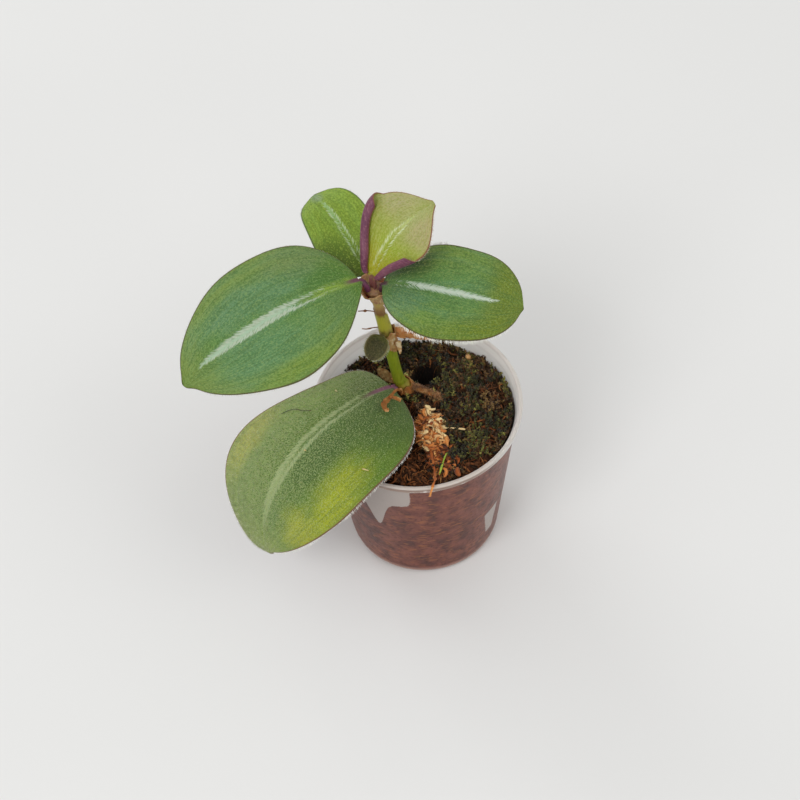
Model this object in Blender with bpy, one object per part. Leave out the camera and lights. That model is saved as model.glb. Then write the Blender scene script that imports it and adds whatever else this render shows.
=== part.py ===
"""Potted brown spiderwort: a young plant with broad leaves in a small frosted plastic pot.

Metres, +Z up. The origin is the centre of the pot's underside. +X is to the right and +Y is
away from somebody who stands in front of the plant. Leaves are described in millimetres and
degrees: a heading of 0 points along +X and 90 along +Y, and a pitch above 0 points upwards.
"""

import math
import random

import bmesh
import bpy
import numpy as np
from mathutils import Vector
from mathutils.bvhtree import BVHTree

MM = 0.001
GAP = 0.3  # clearance between neighbouring pieces, mm

# Pot, mm
POT_HEIGHT = 60.0
RIM_RADIUS = 32.5
RIM_DEPTH = 2.4
WALL_TOP_RADIUS = 31.0
WALL_FOOT_RADIUS = 24.0
FOOT_HEIGHT = 2.4
BASE_RADIUS = 21.8
WALL = 0.8
FLOOR = 1.0
ROUND_SIDES = 48
DRAIN_HOLES = 5
DRAIN_RADIUS = 2.0
DRAIN_RING = 14.0

# Filling, mm
SOIL_MID_LEVEL = 54.6
SOIL_TILT = 2.4  # how much higher the surface lies at the front than in the middle
SOIL_BOTTOM_CLEARANCE = 0.4
MOUND = 1.2
TUFT_COUNT = 56
FIBRE_COUNT = 26

# Stem, mm: places along the stem, from the buried end to the crown
STEM_POINTS = (
    (-3.4, 8.6, 40.0), (-3.5, 8.7, 48.0), (-3.6, 8.9, 53.5), (-3.8, 9.1, 56.6), (-4.9, 9.4, 59.2),
    (-5.6, 9.7, 62.5), (-6.4, 10.2, 68.0), (-7.0, 10.8, 73.5), (-7.6, 11.3, 78.0), (-8.1, 11.7, 82.0),
    (-8.6, 12.1, 86.0), (-9.3, 12.6, 90.4), (-9.6, 12.9, 93.4), (-10.1, 13.3, 96.6), (-10.35, 13.55, 98.3),
    (-10.4, 13.6, 99.8),
)
STEM_RADII = (
    1.5, 2.2, 2.6, 2.6, 1.95,
    1.8, 1.75, 1.85, 2.1, 2.15,
    2.0, 1.85, 1.65, 1.9, 2.45,
    3.1,
)
STEM_SIDES = 12
ROOT_COUNT = 5
ROOT_LENGTH = 30.0
ROOT_RADIUS = 0.8
CROWN = (-10.4, 13.6, 99.8)
CROWN_RADIUS = 3.1
CROWN_SEAT_RING = 1.75

# Leaves, mm
BLADE = 0.7
MARGIN_BLADE = 0.6
STALK_HALF_WIDTH = 0.65
RIB_HALF_WIDTH = 1.1
TIP_HALF_WIDTH = 0.3
WIDTH_STATIONS = np.array([0.1, 0.3, 0.5, 0.7, 0.9])
ROLL_RADIUS = 0.95
ROLL_STEPS = 4

# Dry sheaths and dry moss clump, mm
DRY_SKIN = 0.6
CLUMP_CENTRE = (3.4, -9.5)
CLUMP_HALF_SIZE = (4.6, 8.6)
CLUMP_LIFT = 0.8  # the clump's underside above the filling's level
CLUMP_STRANDS = 20


def clear_scene():
    for old in list(bpy.data.objects):
        bpy.data.objects.remove(old, do_unlink=True)


def material(name, hex_colour, roughness, metallic=0.0, transmission=0.0):
    """A plain Principled material from an sRGB hex colour."""
    srgb = np.array([int(hex_colour[i:i + 2], 16) for i in (0, 2, 4)]) / 255.0
    linear = np.where(srgb <= 0.04045, srgb / 12.92, ((srgb + 0.055) / 1.055) ** 2.4)
    made = bpy.data.materials.new(name)
    made.use_nodes = True
    shader = made.node_tree.nodes["Principled BSDF"]
    shader.inputs["Base Color"].default_value = (*linear, 1.0)
    shader.inputs["Roughness"].default_value = roughness
    shader.inputs["Metallic"].default_value = metallic
    shader.inputs["Transmission Weight"].default_value = transmission
    made.diffuse_color = (*linear, 1.0)
    return made


def solid(name, points, faces, finish, smooth=True):
    """An object from points in millimetres and faces, with its normals turned outwards."""
    mesh = bpy.data.meshes.new(name)
    mesh.from_pydata((np.asarray(points, float) * MM).tolist(), [], [list(map(int, f)) for f in faces])
    work = bmesh.new()
    work.from_mesh(mesh)
    bmesh.ops.recalc_face_normals(work, faces=work.faces)
    work.to_mesh(mesh)
    work.free()
    mesh.materials.append(finish)
    if smooth:
        mesh.shade_smooth()
        mesh.set_sharp_from_angle(angle=math.radians(40))
    made = bpy.data.objects.new(name, mesh)
    bpy.context.scene.collection.objects.link(made)
    return made


def boolean(target, others, operation):
    """Joins the others to the target or cuts them from it, keeps the result and removes the others."""
    group = bpy.data.collections.new(target.name + "_helpers")
    bpy.context.scene.collection.children.link(group)
    for other in others:
        bpy.context.scene.collection.objects.unlink(other)
        group.objects.link(other)
        other.hide_render = True
        other.display_type = "WIRE"
    step = target.modifiers.new(operation.title(), "BOOLEAN")
    step.operation = operation
    step.operand_type = "COLLECTION"
    step.collection = group
    step.solver = "EXACT"
    bpy.context.view_layer.update()
    result = bpy.data.meshes.new_from_object(
        target.evaluated_get(bpy.context.evaluated_depsgraph_get()))
    target.modifiers.clear()
    target.data = result
    for other in list(group.objects):
        bpy.data.objects.remove(other, do_unlink=True)
    bpy.data.collections.remove(group)
    return target


def curve_through(points, count):
    """Points at even steps of a Catmull-Rom curve through the given ones."""
    points = np.asarray(points, float)
    padded = np.vstack([2 * points[0] - points[1], points, 2 * points[-1] - points[-2]])
    place = np.linspace(0, len(points) - 1, count)
    span = np.minimum(place.astype(int), len(points) - 2)
    t = (place - span)[:, None]
    a, b, c, d = (padded[span + i] for i in range(4))
    bend = 2 * a - 5 * b + 4 * c - d
    twist = 3 * b - a - 3 * c + d
    return 0.5 * (2 * b + (c - a) * t + bend * t ** 2 + twist * t ** 3)


def unit(vectors):
    return vectors / np.linalg.norm(vectors, axis=-1, keepdims=True)


def tube(name, points, radii, sides, finish, reference=(0.31, -0.95, 0.07)):
    """A round rod along the points, with a flat cap at each end. The reference isn't along the rod."""
    points = np.asarray(points, float)
    radii = np.broadcast_to(np.asarray(radii, float), len(points))
    along = unit(np.gradient(points, axis=0))
    across = unit(np.cross(along, np.asarray(reference, float)))
    upward = np.cross(along, across)
    turn = np.arange(sides) * 2 * math.pi / sides
    ring = np.cos(turn)[None, :, None] * across[:, None] + np.sin(turn)[None, :, None] * upward[:, None]
    shell = points[:, None] + radii[:, None, None] * ring
    faces = grid_faces(len(points), sides, wrap=True)
    last = (len(points) - 1) * sides
    faces += [tuple(reversed(range(sides))), tuple(range(last, last + sides))]
    return solid(name, shell.reshape(-1, 3), faces, finish)


def grid_faces(rows, columns, wrap=False):
    """Triangles of a grid of points, all cut along the same diagonal."""
    faces = []
    for i in range(rows - 1):
        for j in range(columns if wrap else columns - 1):
            a = i * columns + j
            b = i * columns + (j + 1) % columns
            c, d = a + columns, b + columns
            faces += [(a, c, d), (a, d, b)]
    return faces


def turned(name, profile, sides, finish):
    """A solid turned about the Z axis from a profile of (radius, height) that starts and ends on the axis."""
    profile = np.asarray(profile, float)
    turn = np.arange(sides) * 2 * math.pi / sides
    rim = profile[1:-1]
    rings = np.stack([
        rim[:, :1] * np.cos(turn), rim[:, :1] * np.sin(turn), np.repeat(rim[:, 1:], sides, axis=1)], axis=-1)
    points = np.vstack([rings.reshape(-1, 3), [[0, 0, profile[0, 1]], [0, 0, profile[-1, 1]]]])
    faces = grid_faces(len(rim), sides, wrap=True)
    first, last, top = len(points) - 2, len(points) - 1, (len(rim) - 1) * sides
    for j in range(sides):
        faces += [(first, j, (j + 1) % sides), (last, top + (j + 1) % sides, top + j)]
    return solid(name, points, faces, finish)


def wall_radius(height):
    """The pot's outer radius at a height in millimetres."""
    rise = (height - FOOT_HEIGHT) / (POT_HEIGHT - RIM_DEPTH - FOOT_HEIGHT)
    return WALL_FOOT_RADIUS + (WALL_TOP_RADIUS - WALL_FOOT_RADIUS) * rise


def pot():
    """A thin tapered cup with a thicker rim band, a rounded foot and drain holes."""
    band = POT_HEIGHT - RIM_DEPTH
    edge = 0.4
    profile = [
        (0, 0), (BASE_RADIUS, 0), (BASE_RADIUS + 1.2, 0.35), (BASE_RADIUS + 1.9, 1.2),
        (WALL_FOOT_RADIUS, FOOT_HEIGHT), (wall_radius(30), 30), (WALL_TOP_RADIUS, band),
        (RIM_RADIUS - edge / 2, band + edge / 2), (RIM_RADIUS, band + 2 * edge),
        (RIM_RADIUS, POT_HEIGHT - edge), (RIM_RADIUS - edge, POT_HEIGHT),
        (RIM_RADIUS - 2.5 * edge, POT_HEIGHT), (RIM_RADIUS - 3.5 * edge, POT_HEIGHT - edge),
        (WALL_TOP_RADIUS - WALL, band - edge), (wall_radius(30) - WALL, 30),
        (WALL_FOOT_RADIUS - WALL, FOOT_HEIGHT + 0.6), (BASE_RADIUS, FLOOR + 0.3), (BASE_RADIUS - 1.5, FLOOR),
        (0, FLOOR),
    ]
    plastic = material("frosted_polypropylene", "cfc9c4", 0.42, transmission=0.6)
    shell = turned("pot", profile, ROUND_SIDES, plastic)
    cutters = []
    for i in range(DRAIN_HOLES):
        turn = (i + 0.5) * 2 * math.pi / DRAIN_HOLES
        x, y = DRAIN_RING * math.cos(turn), DRAIN_RING * math.sin(turn)
        ends = [(x, y, -1.0), (x, y, 0.5), (x, y, FLOOR + 1.0)]
        cutters.append(tube("drain_cutter", ends, DRAIN_RADIUS, 12, plastic, (1.0, 0.0, 0.0)))
    return boolean(shell, cutters, "DIFFERENCE")


def bump(x, y, place, spread):
    """A round hill of height 1 at a place, which fades over the spread."""
    return np.exp(-((x - place[0]) ** 2 + (y - place[1]) ** 2) / spread ** 2)


def soil_level(x, y):
    """The filling's surface: tilted to the front, mounded in the middle, lumpy, with a dent by the stem."""
    level = SOIL_MID_LEVEL - SOIL_TILT * y / 28.0
    level = level + MOUND * bump(x, y, (0, 4), 17)
    level = level + 0.45 * np.sin(0.42 * x + 1.3) * np.cos(0.37 * y - 0.6)
    level = level + 0.3 * np.sin(0.81 * x - 0.58 * y) + 0.25 * np.cos(0.66 * x + 0.93 * y)
    level = level - 2.6 * bump(x, y, (3.2, 15.5), 4.5)
    level = level + 1.3 * bump(x, y, (20.0, 3.0), 6.5) - 1.0 * bump(x, y, (9.5, -2.5), 4.0)
    return level + 0.8 * bump(x, y, (13.5, 15.0), 5.0) - 0.8 * bump(x, y, (-20.0, 16.0), 6.0)


def wall_dent(turn, height):
    """How far the filling stands off the wall, mm: a wide hollow at the front left, a narrow one right."""
    degrees = np.degrees(turn)
    wide = 3.0 * np.exp(-((degrees + 121) / 17) ** 4 - ((height - 51) / 9.5) ** 4)
    lower = 2.4 * np.exp(-((degrees + 122) / 8) ** 2 - ((height - 37) / 8.5) ** 2)
    narrow = 2.4 * np.exp(-((degrees + 31) / 8) ** 2 - ((height - 17) / 13.0) ** 2)
    return wide + lower + narrow


def soil_body(finish):
    """The filling as one body: floor, wall rings with their dents, and a surface of rings about the axis."""
    turn = np.arange(ROUND_SIDES) * 2 * math.pi / ROUND_SIDES
    signed = (turn + math.pi) % (2 * math.pi) - math.pi
    shares = np.array([0.0, 0.08, 0.24, 0.4, 0.55, 0.7, 0.85, 1.0])
    floor = FLOOR + SOIL_BOTTOM_CLEARANCE
    rings = []
    for share in shares:
        top = soil_level(*((wall_radius(54.0) - WALL - GAP) * np.array([np.cos(turn), np.sin(turn)])))
        height = floor + (top - floor) * share
        foot = np.where(height < FOOT_HEIGHT + 2, 1.8, 0.0)
        radius = wall_radius(height) - WALL - 1.4 * GAP - foot - wall_dent(signed, height)
        rings.append(np.stack([radius * np.cos(turn), radius * np.sin(turn), height], axis=-1))
    brim = np.hypot(rings[-1][:, 0], rings[-1][:, 1])
    for share in (0.92, 0.81, 0.69, 0.57, 0.45, 0.33, 0.2):
        x, y = brim * share * np.cos(turn), brim * share * np.sin(turn)
        rings.append(np.stack([x, y, soil_level(x, y)], axis=-1))
    points = np.concatenate(rings)
    middle = len(points)
    points = np.vstack([points, [0, 0, soil_level(0.0, 0.0)], [0, 0, floor]])
    faces = grid_faces(len(rings), ROUND_SIDES, wrap=True)
    inner = (len(rings) - 1) * ROUND_SIDES
    for j in range(ROUND_SIDES):
        following = (j + 1) % ROUND_SIDES
        faces += [(middle, inner + j, inner + following), (middle + 1, following, j)]
    return solid("substrate", points, faces, finish, smooth=False)


def surface_of(thing):
    """A function that gives the height of a thing's top surface at a place, both in millimetres."""
    corners = [vertex.co for vertex in thing.data.vertices]
    tree = BVHTree.FromPolygons(corners, [polygon.vertices for polygon in thing.data.polygons])

    def height(x, y):
        hit = tree.ray_cast(Vector((x * MM, y * MM, 0.2)), Vector((0, 0, -1)))[0]
        return hit.z / MM
    return height


def free_of_pieces(x, y):
    """True where moss and fibres may grow: away from the wall, the stem, the dry clump and the grains."""
    if math.hypot(x, y) > 27.4:
        return False
    if math.hypot(x + 3.8, y - 9.1) < 6.5:
        return False
    clump = ((x - CLUMP_CENTRE[0]) / (CLUMP_HALF_SIZE[0] + 3.5)) ** 2
    clump += ((y - CLUMP_CENTRE[1]) / (CLUMP_HALF_SIZE[1] + 3.0)) ** 2
    if clump < 1:
        return False
    if -2.0 < x < 9.5 and (y < -16.0 or 1.5 < y < 10.5):
        return False
    if -14.0 < x < -4.0 and 9.0 < y < 22.0:
        return False
    if 9.0 < x < 17.0 and -13.0 < y < -6.0:
        return False
    return min(math.hypot(x - 16.9, y - 20.3), math.hypot(x + 2.0, y - 26.6)) > 2.6


def moss_and_fibres(ground, finish):
    """Upright moss shoots on the right and at the back, and lying coir fibres, all rooted in the filling."""
    draw = random.Random(7)
    strands = []
    while len(strands) < TUFT_COUNT + FIBRE_COUNT:
        x, y = draw.uniform(-28, 28), draw.uniform(-28, 28)
        upright = len(strands) < TUFT_COUNT
        if not free_of_pieces(x, y) or (upright and x - y < -34) or (not upright and y > 14):
            continue
        turn = draw.uniform(0, 2 * math.pi)
        reach = draw.uniform(0.6, 1.6) if upright else draw.uniform(2.2, 3.6)
        rise = draw.uniform(1.3, 2.4) if upright else draw.uniform(0.7, 1.2)
        dx, dy = reach * math.cos(turn), reach * math.sin(turn)
        if not free_of_pieces(x + dx, y + dy):
            continue
        foot = ground(x, y)
        if upright:
            route = [(x, y, foot - 1.0), (x + 0.2 * dx, y + 0.2 * dy, foot + 0.5 * rise),
                     (x + dx, y + dy, foot + rise)]
            radii = (0.55, 0.45, 0.18)
        else:
            far = max(ground(x + dx, y + dy), ground(x + dx / 2, y + dy / 2), foot)
            route = [(x, y, foot - 0.9), (x + 0.35 * dx, y + 0.35 * dy, far + rise),
                     (x + dx, y + dy, far + 0.3 + 0.4 * rise)]
            radii = (0.4, 0.36, 0.2)
        strands.append(tube("strand", route, radii, 3, finish, (-dy, dx, 0.0)))
    return strands


def root_routes():
    """Root centre lines: they leave the buried stock, spread and turn down."""
    stock = np.array(STEM_POINTS[0])
    routes = []
    for i in range(ROOT_COUNT):
        turn = 0.5 + i * 2 * math.pi / ROOT_COUNT
        out = np.array([math.cos(turn), math.sin(turn), 0.0])
        side = np.array([-out[1], out[0], 0.0])
        along = np.linspace(0, 1, 7)[:, None]
        spread = (2.0 + 1.6 * (i % 3)) * np.sqrt(along) + 4.5 * along
        sway = 1.2 * np.sin(2 * math.pi * along + i)
        drop = -ROOT_LENGTH * (0.72 + 0.07 * (i % 4)) * along
        start = stock + np.array([0, 0, 4.0])
        routes.append(start + out * spread + side * sway * along + np.array([0, 0, 1.0]) * drop)
    return routes


def lengthened(line, extra):
    """The same line with both of its ends moved outwards by that many millimetres."""
    line = line.copy()
    line[0] += extra * unit(line[0] - line[1])
    line[-1] += extra * unit(line[-1] - line[-2])
    return line


def stem_with_roots(name, finish, grow=0.0):
    """The stem and its roots as one body. To grow it thickens all of it by that many millimetres."""
    radii = np.array(STEM_RADII) + grow
    steps = 31
    line = lengthened(curve_through(STEM_POINTS, steps), grow)
    thickness = curve_through(radii[:, None], steps)[:, 0]
    made = tube(name, line, thickness, STEM_SIDES, finish)
    roots = []
    for route in root_routes():
        taper = ROOT_RADIUS * np.linspace(1.15, 0.5, len(route)) + grow
        roots.append(tube("root", lengthened(route, grow), taper, 6, finish, (1.0, 0.2, 0.1)))
    return boolean(made, roots, "UNION")


def half_widths(t, widths):
    """A blade's half widths: 2 sqrt(t (1 - t)) rounds both ends, and a curve through the widths swells it."""
    rounded = 2 * np.sqrt(WIDTH_STATIONS * (1 - WIDTH_STATIONS))
    fullness = np.polyfit(WIDTH_STATIONS, np.array(widths) / rounded, len(WIDTH_STATIONS) - 1)
    return 2 * np.sqrt(np.clip(t * (1 - t), 0, None)) * np.polyval(fullness, t)


def blade_line(t, base, length, pitch, heading, droop, late_droop, sweep):
    """The midrib's points and directions, from angles that change along the blade."""
    up = np.radians(pitch - droop * t - late_droop * t ** 2)
    turn = np.radians(heading + sweep * t)
    along = np.stack([np.cos(up) * np.cos(turn), np.cos(up) * np.sin(turn), np.sin(up)], axis=-1)
    steps = (along[1:] + along[:-1]) / 2 * (length * np.diff(t))[:, None]
    line = np.array(base) + np.vstack([np.zeros(3), np.cumsum(steps, axis=0)])
    level = np.stack([-np.sin(turn), np.cos(turn), np.zeros(len(t))], axis=-1)
    return line, along, level


def stalk_line(seat, seat_direction, base, direction, count):
    """A cubic curve from the leaf's seat on the stem to the start of its blade."""
    seat, base = np.array(seat), np.array(base)
    reach = np.linalg.norm(base - seat) * 0.4
    pull = seat + reach * unit(np.array(seat_direction, float))
    push = base - reach * direction
    u = np.linspace(0, 1, count + 1)[:-1, None]
    return (1 - u) ** 3 * seat + 3 * (1 - u) ** 2 * u * pull + 3 * (1 - u) * u ** 2 * push + u ** 3 * base


def half_section(width, fold, curl, shares, roll, grown):
    """One side of every cross-section: offsets from the midrib, sideways and up, and the surface's angle.

    The surface leaves the midrib at the fold angle and bends by the curl towards its margin. Where
    a roll is given, a strip past the margin turns inwards by that angle in a round scroll, which is
    tighter where the blade is less grown, at its base."""
    angle = np.radians(fold)[:, None] + np.radians(curl)[:, None] * shares
    place = width[:, None] * shares
    if roll is not None:
        strip = np.maximum(ROLL_RADIUS * (0.45 + 0.55 * grown) * roll, 0.15 + 0.55 * grown)
        q = np.linspace(0, 1, ROLL_STEPS + 1)[1:]
        angle = np.hstack([angle, angle[:, -1:] + roll[:, None] * q])
        place = np.hstack([place, place[:, -1:] + strip[:, None] * q])
    middle = (angle[:, 1:] + angle[:, :-1]) / 2
    step = np.diff(place, axis=1)
    start = np.zeros((len(width), 1))
    sideways = np.hstack([start, np.cumsum(np.cos(middle) * step, axis=1)])
    up = np.hstack([start, np.cumsum(np.sin(middle) * step, axis=1)])
    return sideways, up, angle


def leaf(name, finish, base, length, pitch, heading, seat, left, right, seat_direction=(0.0, 0.0, 1.0),
         droop=0.0, late_droop=0.0, sweep=0.0, lean=0.0, twist=0.0, fold=(8.0, 8.0), curl=(-14.0, -14.0),
         stations=24, wave=0.0, roll_left=None, roll_right=None, stalk=STALK_HALF_WIDTH):
    """A blade with its stalk and a keel under its midrib, as one closed body.

    left and right are half widths in millimetres at a tenth, three, five, seven and nine tenths of
    the length. lean and twist turn the blade about its midrib, and wave ripples its margins."""
    t = 0.5 * (1 - np.cos(np.linspace(0, math.pi, stations)))
    line, along, level = blade_line(t, base, length, pitch, heading, droop, late_droop, sweep)
    stalk_points = stalk_line(seat, seat_direction, base, along[0], 5)
    stalk_steps = len(stalk_points)
    line = np.vstack([stalk_points, line])
    along = unit(np.gradient(line, axis=0))
    turned_by = np.radians(lean + twist * t)[:, None]
    across = level * np.cos(turned_by) + np.cross(along[stalk_steps:], level) * np.sin(turned_by)
    across = np.vstack([np.repeat(across[:1], stalk_steps, axis=0), across])
    across = unit(across - along * (across * along).sum(axis=1, keepdims=True))
    outward = np.cross(along, across)

    whole = np.concatenate([np.linspace(-1, 0, stalk_steps + 1)[:-1], t])
    blade = np.clip(whole, 0, None)
    stub = stalk * (1 + 0.35 * np.clip(1 + whole, 0, 1)) * (1 - blade) ** 4 + TIP_HALF_WIDTH * blade
    channel = np.clip(-whole, 0, 1) * 14.0
    rib = np.where(whole < 0, 0.75, 0.75 * (1 - blade) + 0.1)
    shares = np.array([0.0, 0.07, 0.3, 0.58, 0.82, 1.0])
    halves = []
    for side, widths, roll in ((-1, right, roll_right), (1, left, roll_left)):
        index = 0 if side > 0 else 1
        width = np.hypot(half_widths(blade, widths), stub)
        flare = np.where(whole < 0, 0.0, 1.0)
        sideways, up, angle = half_section(
            width, fold[index] + channel, np.full(len(whole), curl[index]) * flare, shares,
            None if roll is None else roll(blade), np.clip(blade / 0.25, 0, 1))
        ripple = wave * np.sin(2 * math.pi * 2.5 * whole + 1.7 * side)[:, None] * flare[:, None]
        up[:, :len(shares)] += ripple * shares ** 3
        up[:, len(shares):] += ripple
        thick = np.where(np.arange(up.shape[1]) < len(shares), BLADE, MARGIN_BLADE)
        thick = thick + rib[:, None] * np.exp(-(sideways / RIB_HALF_WIDTH) ** 2)
        halves.append((side, sideways, up, angle, thick))

    tops, unders = [], []
    for side, sideways, up, angle, thick in halves:
        top = line[:, None] + side * across[:, None] * sideways[..., None] + outward[:, None] * up[..., None]
        down = side * across[:, None] * np.sin(angle)[..., None] - outward[:, None] * np.cos(angle)[..., None]
        under = top + down * thick[..., None]
        under[:, 0] = line - outward * thick[:, :1]
        tops.append(top)
        unders.append(under)
    top = np.concatenate([tops[0][:, :0:-1], tops[1]], axis=1)
    under = np.concatenate([unders[0][:, :0:-1], unders[1]], axis=1)
    rows, columns = top.shape[:2]
    points = np.concatenate([top.reshape(-1, 3), under.reshape(-1, 3)])
    half = rows * columns
    faces = grid_faces(rows, columns)
    faces += [tuple(reversed([v + half for v in face])) for face in grid_faces(rows, columns)]
    for edge in (0, columns - 1):
        for i in range(rows - 1):
            a, b = i * columns + edge, (i + 1) * columns + edge
            faces += [(a, b, b + half), (a, b + half, a + half)]
    for row in (0, rows - 1):
        for j in range(columns - 1):
            a, b = row * columns + j, row * columns + j + 1
            faces += [(a, b, b + half), (a, b + half, a + half)]
    return solid(name, points, faces, finish)


def crown_seat(heading, away=CROWN_SEAT_RING):
    """A place on the crown's top face for a stalk whose upper side lies that far from its middle."""
    turn = math.radians(heading)
    return (CROWN[0] + away * math.cos(turn), CROWN[1] + away * math.sin(turn), CROWN[2] + 2 * GAP)


def crown_side(heading, below):
    """A place beside the crown, that far below its top, for a stalk that leaves it at a heading."""
    turn = math.radians(heading)
    away = CROWN_RADIUS + GAP
    return (CROWN[0] + away * math.cos(turn), CROWN[1] + away * math.sin(turn), CROWN[2] - below)


def left_leaf():
    return leaf(
        "leaf_left", material("velvet_green_leaf", "4d7b3a", 0.55),
        base=(-14.5, 13.0, 104.6), length=62.0, pitch=18.7, heading=203.2, seat=crown_seat(196),
        left=(10.2, 21.3, 25.2, 22.8, 13.6), right=(14.1, 20.0, 19.9, 16.5, 9.2),
        droop=41.9, sweep=16.2, lean=-0.8, fold=(6.8, 9.7), curl=(-14.2, -10.2), stations=24, wave=0.35,
        stalk=0.85)


def right_leaf():
    return leaf(
        "leaf_right", material("deep_green_leaf", "467a3c", 0.55),
        base=(-7.8, 13.0, 102.3), length=42.9, pitch=17.3, heading=-20.1, seat=crown_seat(-28),
        left=(11.2, 15.0, 15.6, 14.5, 10.0), right=(9.4, 15.7, 17.6, 16.2, 10.9),
        droop=34.6, sweep=8.4, lean=5.1, twist=0.3,
        fold=(8.3, 7.4), curl=(-13.3, -15.3), stations=20, wave=0.25)


def low_leaf():
    return leaf(
        "leaf_low", material("dusty_green_leaf", "567344", 0.7),
        base=(-7.5, 5.6, 61.0), length=85.5, pitch=21.6, heading=207.9, seat=(-6.3, 7.2, 59.5),
        left=(23.6, 30.4, 28.5, 19.4, 5.0), right=(12.3, 14.7, 19.9, 17.6, 8.0),
        seat_direction=(-0.7, -0.4, 0.6), droop=77.4, late_droop=62.0, sweep=31.1, lean=4.9, twist=-3.1,
        fold=(8.8, 7.4), curl=(-14.1, -16.9), stations=28, wave=0.3, stalk=0.8)


def back_leaf():
    return leaf(
        "leaf_back", material("bright_green_leaf", "628f36", 0.5),
        base=(-12.5, 18.4, 100.9), length=34.1, pitch=14.9, heading=108.8, seat=crown_side(112, 1.2),
        left=(7.9, 10.6, 10.2, 9.1, 6.9), right=(6.3, 9.1, 10.0, 10.3, 8.4),
        seat_direction=(-0.3, 0.8, 0.4), droop=20.8, sweep=14.1, lean=-2.9,
        fold=(7.5, 9.5), curl=(-11.4, -11.5), stations=18, wave=0.2)


def young_leaf():
    def left_roll(t):
        return np.radians(215) * np.clip(t / 0.1, 0, 1) * np.clip((0.97 - t) / 0.12, 0, 1)

    def right_roll(t):
        return np.radians(215) * np.clip(t / 0.1, 0, 1) * np.clip((0.5 - t) / 0.07, 0, 1)

    return leaf(
        "leaf_young", material("pale_young_leaf", "9aa84c", 0.5),
        base=(-10.6, 14.3, 104.6), length=29.2, pitch=59.9, heading=46.6, seat=crown_seat(46, -0.6),
        left=(3.7, 7.0, 11.3, 11.8, 5.2), right=(3.2, 7.4, 11.6, 11.5, 5.2),
        droop=47.0, sweep=-24.6, lean=1.4, twist=-2.3,
        fold=(12.0, 11.7), curl=(-12.0, -12.4), stations=18, roll_left=left_roll, roll_right=right_roll)


def small_leaf():
    return leaf(
        "leaf_small", material("olive_leaf", "48502f", 0.65),
        base=(-9.4, 8.6, 83.6), length=8.2, pitch=-22.0, heading=236.0, seat=(-9.14, 8.96, 83.77),
        left=(2.6, 3.5, 3.6, 3.2, 2.0), right=(2.6, 3.5, 3.6, 3.2, 2.0),
        seat_direction=(-0.52, -0.77, -0.37), droop=16.0, lean=-8.0, fold=(6.0, 6.0), curl=(-20.0, -20.0),
        stations=9, stalk=0.55)


def stem_at(height):
    """The stem's centre and radius at a height in millimetres."""
    line = np.array(STEM_POINTS)
    x, y = (np.interp(height, line[:, 2], line[:, i]) for i in (0, 1))
    return x, y, np.interp(height, line[:, 2], STEM_RADII)


def sleeve(name, low, high, start, finish_turn, flare, finish, ragged):
    """A torn papery sleeve round the stem, open along one side. Angles in degrees.

    Its height runs from low to high, its outer side flares outwards at both ends, and its lower
    edge is ragged by that many millimetres."""
    turns = np.radians(np.linspace(start, finish_turn, 15))
    shares = np.linspace(0, 1, 5)
    inner, outer = [], []
    for share in shares:
        torn = ragged * (1 - share) * (0.5 + 0.5 * np.sin(3.1 * turns + 0.8))
        torn += 0.4 * ragged * share * np.sin(5 * turns)
        height = low + (high - low) * share + torn
        ring = []
        for turn, z in zip(turns, height):
            x, y, radius = stem_at(z)
            widest = max(radius, stem_at(z + 1.0)[2], stem_at(z - 1.0)[2])
            away = widest + 2 * GAP + flare * (2 * share - 1) ** 2
            far = away + DRY_SKIN
            ring.append([(x + away * math.cos(turn), y + away * math.sin(turn), z),
                         (x + far * math.cos(turn), y + far * math.sin(turn), z)])
        inner.append([pair[0] for pair in ring])
        outer.append([pair[1] for pair in ring])
    inner, outer = np.array(inner), np.array(outer)
    rows, columns = inner.shape[:2]
    half = rows * columns
    points = np.concatenate([outer.reshape(-1, 3), inner.reshape(-1, 3)])
    faces = grid_faces(rows, columns)
    faces += [tuple(reversed([v + half for v in face])) for face in grid_faces(rows, columns)]
    for edge in (0, columns - 1):
        for i in range(rows - 1):
            a, b = i * columns + edge, (i + 1) * columns + edge
            faces += [(a, b, b + half), (a, b + half, a + half)]
    for row in (0, rows - 1):
        for j in range(columns - 1):
            a, b = row * columns + j, row * columns + j + 1
            faces += [(a, b, b + half), (a, b + half, a + half)]
    return solid(name, points, faces, finish)


def ribbon(route, widths, finish, up=(0.0, 0.0, 1.0), steps=9):
    """A dry curled strip along a route, as thick as the dry skin, whose flat side faces up."""
    line = curve_through(route, steps)
    width = np.interp(np.linspace(0, 1, steps), np.linspace(0, 1, len(widths)), widths)[:, None]
    along = unit(np.gradient(line, axis=0))
    across = unit(np.cross(along, np.array(up, float)))
    normal = np.cross(across, along)
    half, deep = across * width / 2, normal * DRY_SKIN / 2
    corners = np.stack([
        line - half - deep, line + half - deep, line + half + deep, line - half + deep], axis=1)
    faces = grid_faces(steps, 4, wrap=True)
    last = (steps - 1) * 4
    faces += [(3, 2, 1, 0), (last, last + 1, last + 2, last + 3)]
    return solid("strip", corners.reshape(-1, 3), faces, finish)


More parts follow.
